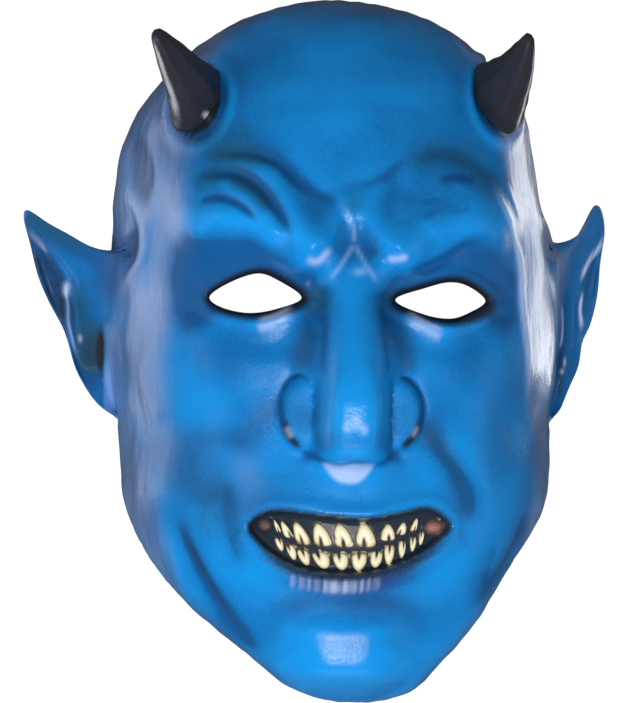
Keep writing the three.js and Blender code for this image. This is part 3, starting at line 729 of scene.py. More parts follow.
front_points, back_points = front.reshape(-1, 3), back.reshape(-1, 3)
outer_ring = border(*front.shape[:2])
inner_ring = border(*back.shape[:2], start=len(front_points))
front_faces = quads(*front.shape[:2]).tolist()
back_faces = quads(*back.shape[:2], start=len(front_points))[:, ::-1].tolist()
shell_points = np.vstack([front_points, back_points])
shell_points[outer_ring, 2] = 0
shell_points[inner_ring, 2] = 0
mask_skin = new_piece("latex_skin", shell_points, front_faces + back_faces
                      + rim_faces(outer_ring.tolist(), inner_ring.tolist(), LINING_STEP))
print("skin faces:", len(mask_skin.data.polygons))

# %% [markdown]
# ## Paint masks
# The maker sprays one blue over everything, washes violet over the lips and blacks the eye rims
# and the mouth. Navy in the creases, the sockets and on the parts turned from the light is partly
# the maker's airbrush and partly painted shade. Lilac on the sides is partly paint and partly a
# painted reflection, and pale painted highlights stand for the glints. Each paint is kept as a
# number from 0 to 1 on every point of the mesh, so the material can mix the colours. The valleys
# get painted shade and the ridges painted light: the skin's height against its blurred height
# finds them.


# %% Valleys of the skin
def blurred(field, cells):
    reach = np.arange(-3 * cells, 3 * cells + 1)
    kernel = np.exp(-0.5 * (reach / cells) ** 2)
    kernel /= kernel.sum()
    for axis in (0, 1):
        padded = np.pad(field, [(len(reach) // 2,) * 2 if a == axis else (0, 0) for a in (0, 1)], "edge")
        field = np.apply_along_axis(lambda row: np.convolve(row, kernel, "valid"), axis, padded)
    return field


ground = lay(across, upward, dome)
ground_x, ground_y = ground[..., 0], ground[..., 1]


def on_ground(*tools):
    """What the tools add up to at each point of the skin's front."""
    return total(tools, ground_x, ground_y)


height = on_ground(*[form for form in face_forms if form not in (mouth, lid, nose)])
fine_valley = blurred(height, 4) - height
broad_valley = blurred(height, 12) - height
print(f"deepest fine valley {fine_valley.max():.2f} mm, broad valley {broad_valley.max():.2f} mm")


# %% Patches of painted shade round the eyes
def spray(points, width, strength, start=0.25, end=0.25):
    return roll(points, width, strength, start, end)


# The sockets under the brows, darkened as painted shade.
LEFT_SOCKET = [
    (-66, 46), (-60.5, 45.5), (-50, 45), (-39, 43.3), (-27.5, 36), (-19, 27), (-20, 20), (-34, 20),
    (-50, 16), (-60, 10), (-67, 10), (-69, 26),
]
RIGHT_SOCKET = [
    (15, 27), (19, 30.5), (29, 32.5), (38, 36), (47, 41), (57, 40.5), (65, 32), (68, 18), (65, 7), (56, 9),
    (50, 16), (30, 16), (19, 20),
]

# %% Strokes of navy painted shade in the valleys
# Painted shade in the creases, the sockets, beside the nose, at the ear roots and on the cheeks, jaws
# and upper corners turned from the light; the negative strengths are painted light, as under the chin.
shade_strokes = [
    spray(LEFT_CREASE_UPPER, 3.2, 0.7, 0.5, 0.3), spray(LEFT_CREASE_MIDDLE, 3.2, 0.8, 0.3, 0.3),
    spray(LEFT_CREASE_LOWER, 2.2, 0.6, 0.4, 0.3),
    spray([(-48, 68.5), (-41.5, 65.5), (-36, 60), (-31, 53)], 4, 0.35),
    spray(LEFT_CREASE_UPPER[2:], 1.2, 0.45), spray(LEFT_CREASE_MIDDLE[1:], 1.2, 0.5),
    spray(LEFT_CREASE_LOWER[2:], 1, 0.4),
    spray([(-66, 78), (-56, 84), (-44, 86), (-32, 82), (-24, 75)], 7, 0.35), spray(RIGHT_CREASE, 2.2, 0.4),
    spray(RIGHT_LID_CREASE, 2.6, 0.5, 0.4, 0.2), spray(RIGHT_BROW_TOP, 5, 0.12),
    spray(GLABELLA_LEFT, 4, 0.16), spray(GLABELLA_RIGHT, 4, 0.14), spray(BROW_LINE, 2.2, 0.22),
    spray(BROW_LINE_LEFT, 2.4, 0.16), bump(10, 95, 34, 14, 0.07), bump(2, -101, 22, 6, 0.3),
    bump(-2, -137, 28, 7, -0.7), bump(-2, -118, 34, 14, 0.16), bump(0, -39, 10, 5, 0.25),
    bump(-20, -26, 6, 10, 0.14), bump(20, -26, 6, 10, 0.14),
    spray([(19, 73), (16, 64.6), (14.5, 55.7), (15, 49)], 3.4, 0.35),
    spray([(-66, 36), (-63, 24), (-62, 12)], 7, 0.4), spray([(64, 36), (66, 22), (62, 8)], 7, 0.5),
    bump(50, -6, 20, 24, 0.22), bump(-44, 2, 17, 12, 0.25), bump(-74, -46, 10, 24, 0.2),
    bump(76, -50, 12, 30, 0.2), spray([(-87.7, 54), (-86.8, 44), (-89, 34), (-92.5, 22)], 4.5, 0.55),
    bump(-85, 77, 4.5, 15, 0.4), spray([(88, 54), (89, 40), (92, 26)], 4.5, 0.8),
    spray([(-70, -58), (-66, -74), (-57, -92), (-43, -114), (-32, -126)], 4.2, 0.6, 0.2, 0.35),
    spray([(-68, -64), (-64, -76), (-56, -92), (-43, -112), (-33, -124)], 1.8, 0.5),
    bump(66, -8, 10, 26, 0.2), spray(RIGHT_JAW, 5, 0.38),
    spray([(26.5, -22), (34.4, -38), (41, -47), (46, -57), (47, -72)], 5, 0.75),
    spray([(29.5, -30), (35.4, -39), (42, -47.5), (47, -57), (48.4, -70)], 1.8, 0.5),
    spray([(-28, -16), (-33, -24), (-42, -33), (-49, -42)], 7.5, 0.5), bump(1.5, 49, 9, 9, -0.6),
    spray([(-49, -48), (-48, -62), (-46, -76), (-42, -90)], 3.5, 0.4),
    spray([(-12.4, 28), (-14.2, 14), (-18.4, -2), (-22, -12)], 6.4, 0.78, 0.1),
    spray([(13.4, 26), (15.4, 14), (20.6, -3), (24.5, -13)], 6.4, 0.78, 0.1),
    spray([(-58, -26), (-60, -46), (-56, -66)], 11, 0.4), bump(-58, 56, 10, 16, 0.25),
    bump(0, -100, 40, 10, 0.1), bump(-47, 38, 20, 9, 0.22), bump(44, 58, 22, 14, 0.24),
    spray([(-10.8, 18), (-11, 4), (-13, -12)], 1.6, 0.45),
    spray([(12.2, 18), (12.6, 4), (14, -12)], 1.6, 0.55), spray(LEFT_WING_EDGE, 1, 1, 0.12, 0.1),
    spray(RIGHT_WING_EDGE, 1, 1, 0.12, 0.1),
    spray([(-14, -8), (-14.4, -20), (-14.6, -32), (-12.6, -41)], 1.5, 0.45, 0.2, 0.2),
    spray([(14.6, -8), (15.4, -22), (15.6, -32), (12.8, -41)], 1.6, 0.55, 0.2, 0.2),
    spray(NOSE_EDGE, 1, 1, 0.1, 0.1), mirrored(bump(60, 100, 26, 26, 0.35, 1.4)),
    bump(-48, 112, 24, 18, 0.2), patch(LEFT_SOCKET, 0.85, 5, 5), patch(RIGHT_SOCKET, 0.55, 5, 5),
]

# %% Strokes of teal, and both added up
teal_strokes = [
    spray([(-59, 75), (-50, 78.6), (-39, 77.6), (-31, 74.6)], 5, 0.75),
    spray([(-50, 69.6), (-41.5, 66), (-36.5, 61.5), (-32, 54)], 3.8, 0.75),
    spray([(-63, 65), (-57, 69), (-50, 70)], 5, 0.6),
    spray([(-66, 79), (-56, 85), (-44, 87), (-32, 83)], 7, 0.4), spray(RIGHT_BROW_TOP, 6, 0.55, 0.2, 0.2),
    bump(1.4, 58.5, 3.6, 4.4, 0.75, 1.2), spray([(-17, 12), (-20, -2), (-23, -10)], 6, 0.28),
    spray([(19, 12), (22.5, -2), (26, -10)], 6, 0.25), spray([(-19, 24), (-14, 21), (-12.5, 14)], 4.5, 0.7),
    spray([(19.5, 24), (15.5, 22), (14, 14)], 4.5, 0.6),
    spray([(29, -27), (34, -36), (40, -45), (45.5, -55)], 4.5, 0.45),
    spray([(-58, -40), (-56, -60), (-50, -80)], 9, 0.4), bump(0, -56, 30, 8, 0.2),
    bump(-20, -26, 7, 10, 0.25), bump(21, -26, 7, 10, 0.2),
]
# A mottled navy over all but the middle of the face, which stays bright where the light falls
# fullest: painted shade with a random mottle.
unshaded_middle = on_ground(bump(0, -24, 17, 34, 1, 1.5))
shade = 0.3 * (1 - unshaded_middle) * (1 + 0.4 * waves(ground, 34, seed=17)) + on_ground(*shade_strokes)
# Painted shade deepens the valleys and painted light brightens the ridges.
shade += 0.5 * ramp(0.1, 1, fine_valley) - 0.35 * ramp(0.1, 0.9, -fine_valley)
shade += 0.25 * ramp(1, 4.5, broad_valley)
teal = on_ground(*teal_strokes)
print(f"shade covers {np.mean(shade > 0.5):.0%} of the front, teal {np.mean(teal > 0.5):.0%}")

# %% Black round the eyes, in the mouth and at the horns, and violet on the lip
mouth_depth = depth_inside(mouth_line, ground_x, ground_y)
eye_depth = np.maximum(*[depth_inside(line, ground_x, ground_y) for line in eye_lines])
rim_width = 2.4 + on_ground(bump(53, 15, 10, 6, 2.8), bump(-24, 18, 12, 6, 1))
below = ramp(-72, -84, ground_y - 0.05 * ground_x)
horn_foot = on_ground(bump(-66, 88, 9, 9, 0.4, 2))
black = np.maximum.reduce([
    ramp(-1.6 * rim_width, -0.35 * rim_width, eye_depth),
    ramp(-2.4, 0.8, mouth_depth),
    0.8 * ramp(-5.4, -1.2, mouth_depth) * below,
    # Black round each horn's foot, widest under the left horn: painted shadow of the gap under the foot.
    ramp(-1.9 + 3 * horn_foot, -2.7 + 1.6 * horn_foot, past_horn(ground_x, ground_y)),
    on_ground(
        # Black crescents under the nose's wings: painted shadow of the nostrils.
        spray([(-27.8, -26), (-25, -33.5), (-19.5, -39)], 1.5, 1, 0.3, 0.2),
        spray([(28, -26), (24.8, -33.5), (19, -39)], 1.5, 1, 0.3, 0.2),
        # Thin black in the left jaw crease and the left cheek fold: painted shade.
        spray([(-66.5, -68), (-62, -80), (-54, -94.5), (-43, -112), (-35, -122)], 1.3, 0.45, 0.25, 0.5),
        spray([(-51, -58), (-49.4, -68), (-46.4, -78), (-43, -86)], 0.9, 0.2)),
])
violet = 0.9 * np.exp(-(((mouth_depth + 4) / 4.8) ** 2)) * (0.05 + 0.95 * below)
violet = violet * ramp(34, 16, np.abs(ground_x - 1))

# %% Lilac where the face turns into its sides, partly violet paint and partly a painted reflection
FACE_EDGE = [
    # height, distance from the midline
    (-150, 40), (-125, 52), (-100, 68), (-60, 79), (-40, 79), (-19, 74), (5, 72), (21, 71), (33, 69),
    (41, 67), (52, 65), (61, 66), (75, 65), (87, 62), (105, 62), (125, 50), (150, 40),
]
LEFT_EAR_PATCH = [
    (-85.3, 56.3), (-82.9, 47.2), (-82.5, 39), (-84.6, 33.2), (-88.3, 26.6), (-90.7, 18.3), (-97, 12),
    (-104, 30), (-100, 46), (-93.9, 47), (-88.3, 49.5),
]
RIGHT_EAR_PATCH = [
    (90.5, 58), (85.8, 51.5), (85.5, 42.6), (88.3, 32), (91.8, 25.7), (96, 18), (96, -24), (104, -24),
    (106, 30), (102, 58),
]
softness = np.where(ground_x < 0, 6, 3)
past_edge = np.abs(ground_x) - profile(FACE_EDGE)(ground_y)
left_patch = on_ground(patch(LEFT_EAR_PATCH, 1, 1.6, 1.6))
right_patch = on_ground(patch(RIGHT_EAR_PATCH, 1, 1.2, 1.2))
# Lilac on the side planes: violet paint together with a painted reflection of the lights beside the head.
lilac_and_sheen = ramp(-softness, softness, past_edge) * (0.8 + 0.2 * waves(ground, 26, seed=21))
lilac_and_sheen = lilac_and_sheen * (1 - 0.6 * left_patch) * (1 - 0.95 * right_patch)
lilac_and_sheen = np.maximum(lilac_and_sheen, on_ground(bump(-41, -50, 6, 11, 0.35, 1, 0.2)))
# Painted shade in the corners where the ears meet the head, with a little violet at the left.
shade += 0.4 * left_patch + 0.8 * right_patch
violet = np.maximum(violet, 0.25 * left_patch)
blush = on_ground(bump(33.6, -70, 3.6, 2.8, 1, 3), bump(-34.2, -69, 2.2, 2.1, 0.45, 3))


# %% Masks kept on the mesh
def store(piece, name, values):
    attribute = piece.data.attributes.get(name) or piece.data.attributes.new(name, "FLOAT", "POINT")
    attribute.data.foreach_set("value", np.clip(np.ravel(values), 0, 1).astype(np.float32))


def store_all(piece, masks):
    for name, values in masks.items():
        store(piece, name, values)


def stored(piece, name):
    values = np.zeros(len(piece.data.vertices), np.float32)
    if name in piece.data.attributes:
        piece.data.attributes[name].data.foreach_get("value", values)
    return values


# %% Painted highlights
PHILTRUM_GLINT = [
    (-11.9, -43.6), (-6, -44.9), (-1, -44.2), (3, -44.2), (7.7, -44.6), (6.4, -48), (2.8, -51.6),
    (-0.8, -52.4), (-6.2, -51.2), (-10, -47.4),
]
CHIN_GLINT = [
    (-13.2, -112.4), (-4, -111.8), (5.6, -112.6), (7, -118), (4.4, -123.4), (-4, -124.2), (-11, -122.4),
]
RIGHT_STREAK = [
    (63, 104), (64.5, 84), (67, 66), (70, 52), (73, 38), (74.6, 22), (76, 4), (77, -12), (84, -20),
    (92, -16), (93.4, 10), (88, 27), (84, 40), (84.4, 52), (90, 62), (94, 74), (92, 88), (86, 100),
    (76, 110),
]


def temple_glint(x, y):
    """A soft painted highlight on the side above the right ear."""
    return 0.6 * ramp(83, 88, x) * ramp(56, 64, y)


# Pale painted highlights: glints on the forked ridge, the eye bags, the brow knobs, the nose tip,
# the wings, the lip and the chin, and the light edges of the side planes.
glints = [
    spray(RIDGE_STEM, 0.9, 0.3, 0.5, 0.1), spray(RIDGE_LEFT, 0.9, 0.3, 0.1, 0.3),
    spray(RIDGE_RIGHT, 0.9, 0.3, 0.1, 0.3),
    spray([(-38, 8.8), (-30, 11.6), (-21, 16.4)], 2, 0.5, 0.15, 0.4),
    spray([(20.5, 15.4), (28, 10.4), (37, 4.8)], 2, 0.5, 0.4, 0.15),
    spray([(-38, 12.4), (-30, 14.6), (-22, 18.6)], 0.8, 0.6),
    spray([(22, 16.6), (30, 11.8), (38, 8.2)], 0.8, 0.6),
    spray([(-19, 37), (-13.6, 35.7), (-8, 41.4)], 1.3, 0.8),
    spray([(13.5, 37.2), (18, 36.6), (23, 37.8)], 1.3, 0.75), bump(3, 31.6, 2.6, 1.4, 0.35),
    bump(-0.2, -27.4, 2.2, 2.8, 0.36, 2), bump(3, -30.6, 1.8, 2.3, 0.36, 2),
    bump(-3.8, -29.6, 1.8, 2, 0.26, 2), spray(TEMPLE_EDGE, 1.4, 0.3), spray(RIGHT_PLANE_EDGE, 1.3, 0.8),
    spray([(66, 68), (70.5, 57), (73, 46)], 1.2, 0.5),
    spray([(-26.5, -29), (-23.5, -35)], 1.1, 0.5, 0.3, 0.3),
    spray([(26.5, -29), (23.8, -34.5)], 1.1, 0.5, 0.3, 0.3), bump(-4, -94, 5.5, 2, 0.3),
    patch(PHILTRUM_GLINT, 0.75, 0.8, 1.2), patch(CHIN_GLINT, 0.16, 0.8, 1.2), temple_glint,
]
# Painted highlights on the lower lip's wrinkles, brightest in the middle.
for x in LIP_WRINKLES:
    glints.append(spray(lip_wrinkle(x), 0.75, 0.42 + 0.35 * np.exp(-(((x + 4) / 7) ** 2)), 0.3, 0.3))
# The right side's long streak is a painted reflection of a light beside the head.
streaks = 0.8 + 0.3 * waves(ground * np.array([1, 0.12, 1]), 5, seed=31)
painted_highlight = on_ground(*glints) + on_ground(patch(RIGHT_STREAK, 0.5, 1.5, 3.5)) * streaks

# %% Matt powder
matt = on_ground(
    bump(0, -98, 38, 6, 1), bump(-2, -55.5, 32, 4.5, 1),
    spray([(-27, -106), (-28, -120), (-24, -132)], 4, 0.8),
    spray([(22, -106), (23, -120), (20, -132)], 4, 0.8), bump(-2, -132, 24, 5, 0.8),
    bump(-20, -26, 7, 11, 1), bump(20.5, -26, 7, 11, 1),
    spray([(-8, 26), (-10.5, 10), (-12.5, -6), (-13, -30)], 3.2, 0.9, 0.1, 0.1), bump(1, -39, 11, 3.4, 0.8),
    bump(-20, -44, 6, 4, 0.8), bump(20, -44, 6, 4, 0.8), bump(-24, 45, 6, 5, 0.8), bump(-8, 33, 3, 4, 0.8),
) + 1.2 * right_patch + 0.6 * left_patch
matt += 0.9 * below * np.exp(-(((mouth_depth + 2) / 3) ** 2)) + ramp(0, 2, mouth_depth)

# %% Store the skin's masks
unpainted, unlined = np.zeros(len(front_points)), np.zeros(len(back_points))
on_front = {"shade": shade, "teal": teal, "painted_highlight": painted_highlight, "black": black, "violet": violet, "lilac_and_sheen": lilac_and_sheen,
            "matt": matt, "blush": blush, "enamel": unpainted, "stain": unpainted}
for paint, values in on_front.items():
    store(mask_skin, paint, np.concatenate([np.ravel(values), unlined]))
store(mask_skin, "inside", np.concatenate([unpainted, unlined + 1]))
PAINTS = [*on_front, "inside"]
print("masks on the skin:", ", ".join(PAINTS))

# %% [markdown]
# ## Ears
# Each ear is a thin flap that fans out from the side of the head to a pointed rim. Its sections
# run from the root to the rim and back behind. On the front of the flap the same rolls and bumps
# as on the face make the bent-over edge, the ridge inside it and the dark hollow of the ear.

# %% Sizes of the ears
EAR_LOBE, EAR_TOP, EAR_THICK = -27, 43, 4
EAR_SECTIONS, EAR_STEPS = 72, 44
LOBE_ROOT_HEIGHT, ROOT_RISE = 28, 34
LOBE_RIM_FORWARD, RIM_TURNS_BACK = 6, 14
FLARE_REACH, SUNK_IN_SKIN = 3.4, 2.2
LEFT_EAR_RIM = [
    (-90, -29), (-96.5, -25), (-101.4, -20.4), (-105.8, -13.8), (-109.6, -6), (-112.4, 4), (-115, 11),
    (-120.4, 21), (-125, 32), (-128.2, 45), (-130.9, 56), (-129, 59.2), (-120.3, 53.6), (-112, 49),
    (-104, 44.4), (-97, 42.3), (-88, 42),
]
RIGHT_EAR_RIM = [
    (91, -30.5), (96, -26), (100.6, -15.5), (104.6, -6), (106.2, 4), (109.6, 12), (112.3, 24), (113.4, 38),
    (115, 51), (113.2, 60.3), (109.8, 61.6), (105.8, 54.8), (102.4, 49.4), (96, 46.2), (87, 45),
]
LEFT_FOLD_EDGE = [
    (-129.4, 51), (-124.4, 46), (-120.4, 41), (-115.4, 35), (-112, 30), (-108.8, 24), (-104.4, 16.6),
]
LEFT_EAR_RIDGE = [(-112, 30.6), (-113.3, 25.7), (-112.3, 20), (-112, 12.5), (-110.5, 6), (-108.4, -4)]
left_ear_forms = [
    roll(LEFT_FOLD_EDGE, 2.2, 1.8, 0.15, 0.3),
    roll([(-127.5, 47), (-122.5, 36), (-118, 24), (-114.5, 14)], 3.2, -2.2),
    roll(LEFT_EAR_RIDGE, 1, 1.6, 0.2, 0.3),
    bump(-108.6, 20, 2.8, 8, -2.4),
    bump(-103.5, 2.6, 7.6, 13.5, -3.2, 2),
    bump(-102.6, 1.8, 5.8, 9.6, 3.2, 1.5),
    bump(-99.5, -15.5, 5, 6, 1.2),
]
RIGHT_FOLD_EDGE = [(114.6, 49.5), (112, 44), (107.6, 38.2), (103.9, 29)]
RIGHT_EAR_RIDGE = [(105.6, 26), (104.4, 17.7), (106.0, 8.6)]
RIGHT_EAR_ROOT = [(95, 20.6), (96.4, 15.6), (96.9, 7), (95.6, 0)]
right_ear_forms = [
    roll(RIGHT_FOLD_EDGE, 1.3, 1.8, 0.2, 0.3),
    roll(RIGHT_EAR_RIDGE, 1.2, 1.8, 0.2, 0.3),
    roll(RIGHT_EAR_ROOT, 1.2, 1),
    roll([(112, 42), (109.5, 30), (107.5, 18)], 2, -1.6),
    bump(100, 12, 3.6, 18, -2.4, 1.5),
    bump(98, -14, 3, 5, 1),
]


# %% Build an ear
EDGE_SHARE = 0.97
LIP_STEPS = 5


def ear_rings(rim_points, forms):
    """Rings of points round the flap: front from root to rim, the rim's edge, and the back."""
    side = np.sign(rim_points[0][0])
    rim = smooth_line(rim_points, steps=24)
    run = np.linspace(0, 1, len(rim))
    s = np.linspace(0, EDGE_SHARE, EAR_STEPS)
    behind = s[::-2]
    turn = np.linspace(0, pi, LIP_STEPS + 2)[1:-1]
    rings = []
    for t in np.linspace(0, 1, EAR_SECTIONS):
        edge_x, edge_y = [np.interp(t, run, rim[:, axis]) for axis in (0, 1)]
        y = EAR_LOBE + (EAR_TOP - EAR_LOBE) * t
        depth = LOBE_ROOT_HEIGHT + ROOT_RISE * t ** 1.6
        flare = (3 + 8 * ramp(0.3, 0.9, t)) * ramp(0, 0.12, t) * ramp(1, 0.9, t)
        root = np.array([side * half_width(y, depth), y, depth])
        rim_way = np.array([edge_x, edge_y, depth + LOBE_RIM_FORWARD - RIM_TURNS_BACK * t]) - root
        length = np.hypot(rim_way[0], rim_way[1])
        thick = EAR_THICK * ramp(0, 0.08, t) * ramp(1, 0.94, t) + 0.4

        def flap(share, raised):
            points = root + np.outer(share, rim_way)
            points[:, 2] += raised
            return points

        face = flap(s, flare * np.exp(-s * length / FLARE_REACH))
        carved = total(forms, face[:, 0], face[:, 1]) * ramp(1, 5, s * length) * ramp(EDGE_SHARE, 0.88, s)
        face[:, 2] += carved * ramp(0, 0.1, t) * ramp(1, 0.85, t)
        lip = flap(EDGE_SHARE + (1 - EDGE_SHARE) * np.sin(turn), -thick * 0.35 * (1 - np.cos(turn)))
        fading = 0.4 * flare * np.exp(-behind * length / FLARE_REACH)
        rear = flap(behind, -thick * (0.7 + 0.6 * np.sin(pi * behind)) - fading)
        sunk = [[[side * (half_width(y, z) - SUNK_IN_SKIN), y, z]] for z in (face[0, 2], rear[-1, 2])]
        rings.append(np.vstack([sunk[0], face, lip, rear, sunk[1]]))
    return np.array(rings)


def build_ear(name, rim_points, forms):
    """The ear, the x and y of its points, and 1 for each point on its back."""
    rings = ear_rings(rim_points, forms)
    ear = new_piece(name, rings.reshape(-1, 3), loft(rings, flip=rim_points[0][0] < 0))
    on_back = np.arange(rings.shape[1]) > EAR_STEPS + LIP_STEPS // 2 + 1
    return ear, rings[..., 0].ravel(), rings[..., 1].ravel(), np.tile(on_back, len(rings)).astype(float)


# %% The left ear and its paint
left_ear, x, y, behind = build_ear("left_ear", LEFT_EAR_RIM, left_ear_forms)
LEFT_FLAP = [
    (-129.4, 51), (-125.3, 46.4), (-120.3, 40.6), (-116.6, 35.7), (-113.8, 30.7), (-114.6, 23.3),
    (-113.8, 13.4), (-112.6, 6), (-118, 6), (-127, 28), (-134, 50),
]
flap_side = patch(LEFT_FLAP, 1, 0.9, 0.9)(x, y)
cheek_edge = ramp(-98, -96.4, x) * ramp(-32, -26, y) * ramp(14, 8, y)
# Navy and black on the flap bent away from the light and in the bowl are painted shade; a navy
# ground covers the whole ear.
dark = [
    spray([(-130, 58), (-118, 51), (-105, 43.5), (-94, 41)], 5, 0.6, 0.05, 0.1),
    spray([(-130, 49), (-125, 38), (-119.5, 24), (-115, 10)], 5.4, 1, 0.05, 0.1),
    spray([(-113, 2), (-109, -10), (-102, -20)], 4, 0.5), bump(-94, 34, 7, 12, 0.5),
]
lobe_and_bowl = [bump(-99, -17, 8, 10, 0.2), bump(-106, 8, 6, 16, 0.4)]
green = [
    bump(-108, 20, 4.4, 9, 0.9), bump(-102.6, 1.6, 7.4, 12, 1, 3),
    spray([(-130, 58), (-118, 51.5), (-102, 43)], 5, 0.8, 0.05),
    spray([(-128, 44), (-120, 25), (-115, 10)], 5, 0.3),
]
shadow_black = [
    bump(-98.4, 0.5, 1.9, 9.5, 1, 1.5), spray([(-114.6, 28), (-114.6, 20), (-113.8, 12)], 1.2, 0.5),
    lambda x, y: 0.5 * flap_side * (1 - bump(-122, 44, 6, 4, 0.6)(x, y)), bump(-101.6, -2, 5.8, 9.5, 0.62),
]
# Pale painted highlights on the ear's ridge and fold.
painted_glint = [
    spray(LEFT_EAR_RIDGE, 0.7, 0.4), spray([(-112.3, 29.5), (-113.2, 26), (-112.8, 22.5)], 1.4, 0.7),
    spray(LEFT_FOLD_EDGE[:3], 0.7, 0.4), bump(-107.2, 5.5, 0.8, 1.4, 0.7),
]
shine_off = [bump(-98, -17, 8, 10, 0.5), bump(-102, 1, 7, 12, 0.6, 2)]
store_all(left_ear, {
    "shade": (np.maximum(total(dark, x, y), 0.6 * behind) + 0.66 + 0.35 * flap_side
              + total(lobe_and_bowl, x, y) - 0.5 * cheek_edge),
    "matt": 0.4 + 0.6 * flap_side + total(shine_off, x, y),
    "teal": total(green, x, y) * (1 - behind),
    "black": total(shadow_black, x, y) * (1 - behind) * (1 - cheek_edge),
    "painted_highlight": total(painted_glint, x, y) * (1 - behind),
    "lilac_and_sheen": 0.2 * behind + 0.8 * cheek_edge,
})

# %% The right ear and its paint
right_ear, x, y, behind = build_ear("right_ear", RIGHT_EAR_RIM, right_ear_forms)
# Navy along the fold and black at the root are painted shade; a navy ground covers the whole ear.
dark = [
    spray([(97, 14), (98, 0), (97, -14)], 3, 0.4),
    spray([(111, 40), (109, 26), (106.6, 14)], 3.5, 0.4, 0.1, 0.1),
]
# Pale painted highlights on the ridges and the fold.
painted_glint = [
    spray(RIGHT_FOLD_EDGE, 0.7, 0.9), spray(RIGHT_EAR_RIDGE, 0.7, 0.9), spray(RIGHT_EAR_ROOT, 0.6, 0.7),
    bump(98.6, -4.5, 0.6, 1.6, 0.8), bump(97.5, -8.5, 0.8, 0.8, 0.8),
]
store_all(right_ear, {
    "shade": np.maximum(total(dark, x, y), 0.4 * behind) + 0.9,
    "matt": 0.4 + ramp(103, 98, x),
    "teal": np.full(len(x), 0.3),
    "black": bump(96.4, -8, 1.6, 10, 0.6, 2)(x, y) * (1 - behind),
    "painted_highlight": total(painted_glint, x, y) * (1 - behind),
})
print("ear faces:", len(left_ear.data.polygons), len(right_ear.data.polygons))

# %% [markdown]
# ## Teeth
# The bared teeth are part of the same casting: leaf-shaped above, pointed below, leaning out at
# the gums. Each one is a small dome with a split in its biting end. Nine stand above the bite
# and eleven below it, and each is placed by its middle, its lean and its width.

# %% The two rows of teeth
UPPER_TEETH = [
    # middle at the bite, middle at the gum, width, bite height, gum height
    (-28.3, -30.6, 2.2, -72, -66.6), (-24.2, -27.6, 3.8, -74.3, -67), (-18.1, -22.2, 6.2, -77.1, -67.2),
    (-10.6, -13.4, 7.6, -77.6, -67.6), (-2.2, -5, 7.9, -78.1, -67.8), (6.1, 4.9, 8.4, -78.1, -67.8),
    (14.5, 14.7, 6.2, -75.5, -68.3), (19.6, 21, 4.2, -73.2, -67.7), (24.6, 26.4, 2.8, -71.8, -66),
]
LOWER_TEETH = [
    (-29.1, -27.3, 3.2, -73.8, -79.6), (-24.4, -22.4, 3.8, -76.4, -83.2), (-19.6, -17.4, 4.8, -78.4, -85.2),
    (-12.6, -10.4, 6.9, -79.4, -86.5), (-4.5, -3.5, 6.5, -79.6, -87.1), (3.4, 3, 6.6, -79.4, -87.4),
    (10.4, 9.6, 5.3, -79.1, -86.2), (15.5, 14.9, 4.4, -76.4, -85.1), (20.6, 20.2, 3.2, -75, -82.5),
    (25.1, 24.5, 2.8, -73.6, -80), (28.6, 27.8, 2.3, -71.5, -77.4),
]
TOOTH_RAISE, TOOTH_ROOT, NOTCH, TOOTH_CELLS = 2.6, 1.8, 0.7, 14


# %% Height of the face, and one tooth
def face_height(x, y):
    """Height of the sculpted face over the rim, found by halving."""
    direction, target = np.arctan2(y, x), np.hypot(x, y)
    low, high = by_direction(SIDE_WALL, direction), np.full(np.shape(x), float(FACE_TOP))
    for _ in range(30):
        middle = (low + high) / 2
        outside = head_radius(direction, middle) > target
        low, high = np.where(outside, middle, low), np.where(outside, high, middle)
    return low + relief(x, y)


def build_tooth(bite_x, gum_x, width, bite_y, gum_y, split):
    """One dome, with its corners in the order of a closed solid, and its enamel mask."""
    u, v = np.meshgrid(*[np.linspace(-1, 1, TOOTH_CELLS + 1)] * 2)
    p, q = u * np.sqrt(1 - v * v / 2), v * np.sqrt(1 - u * u / 2)
    r = np.hypot(p, q)
    squared = 0.4 * ramp(0.2, -0.8, v)
    p, q = p + (u - p) * squared, q + (v - q) * squared
    wide, taper = (0.97, 0.2) if gum_y < bite_y else (0.9, 0.32)
    half = width / 2 * (wide - taper * q)
    middle_x = (bite_x + gum_x) / 2 + (gum_x - bite_x) / 2 * q
    middle_y = (bite_y + gum_y) / 2 + (gum_y - bite_y) / 2 * q
    x, y = middle_x + p * half, middle_y
    floor = face_height(np.array([(bite_x + gum_x) / 2]), np.array([(bite_y + gum_y) / 2]))[0]
    biting = ramp(0.5, -0.7, q)
    notch = np.exp(-(((p - split) / (0.12 + 0.14 * biting)) ** 2)) * biting
    z = floor + TOOTH_RAISE * np.sqrt(np.clip(1.02 - r ** 4, 0, 1)) - NOTCH * notch
    points, faces = block_under(np.stack([x, y, z], -1), floor - TOOTH_ROOT)
    enamel = ramp(1.0, 0.9, r) * (1 - ramp(0.35, 0.75, notch))
    blotches = 1 + 0.6 * waves(np.stack([x, y, z], -1), 3.5, seed=8)
    stain = (0.7 * ramp(0.68, 1.0, r) + 0.4 * notch) * blotches
    root = np.zeros(len(points) - enamel.size)
    return points, faces, np.array([np.concatenate([mask.ravel(), root]) for mask in (enamel, stain)])


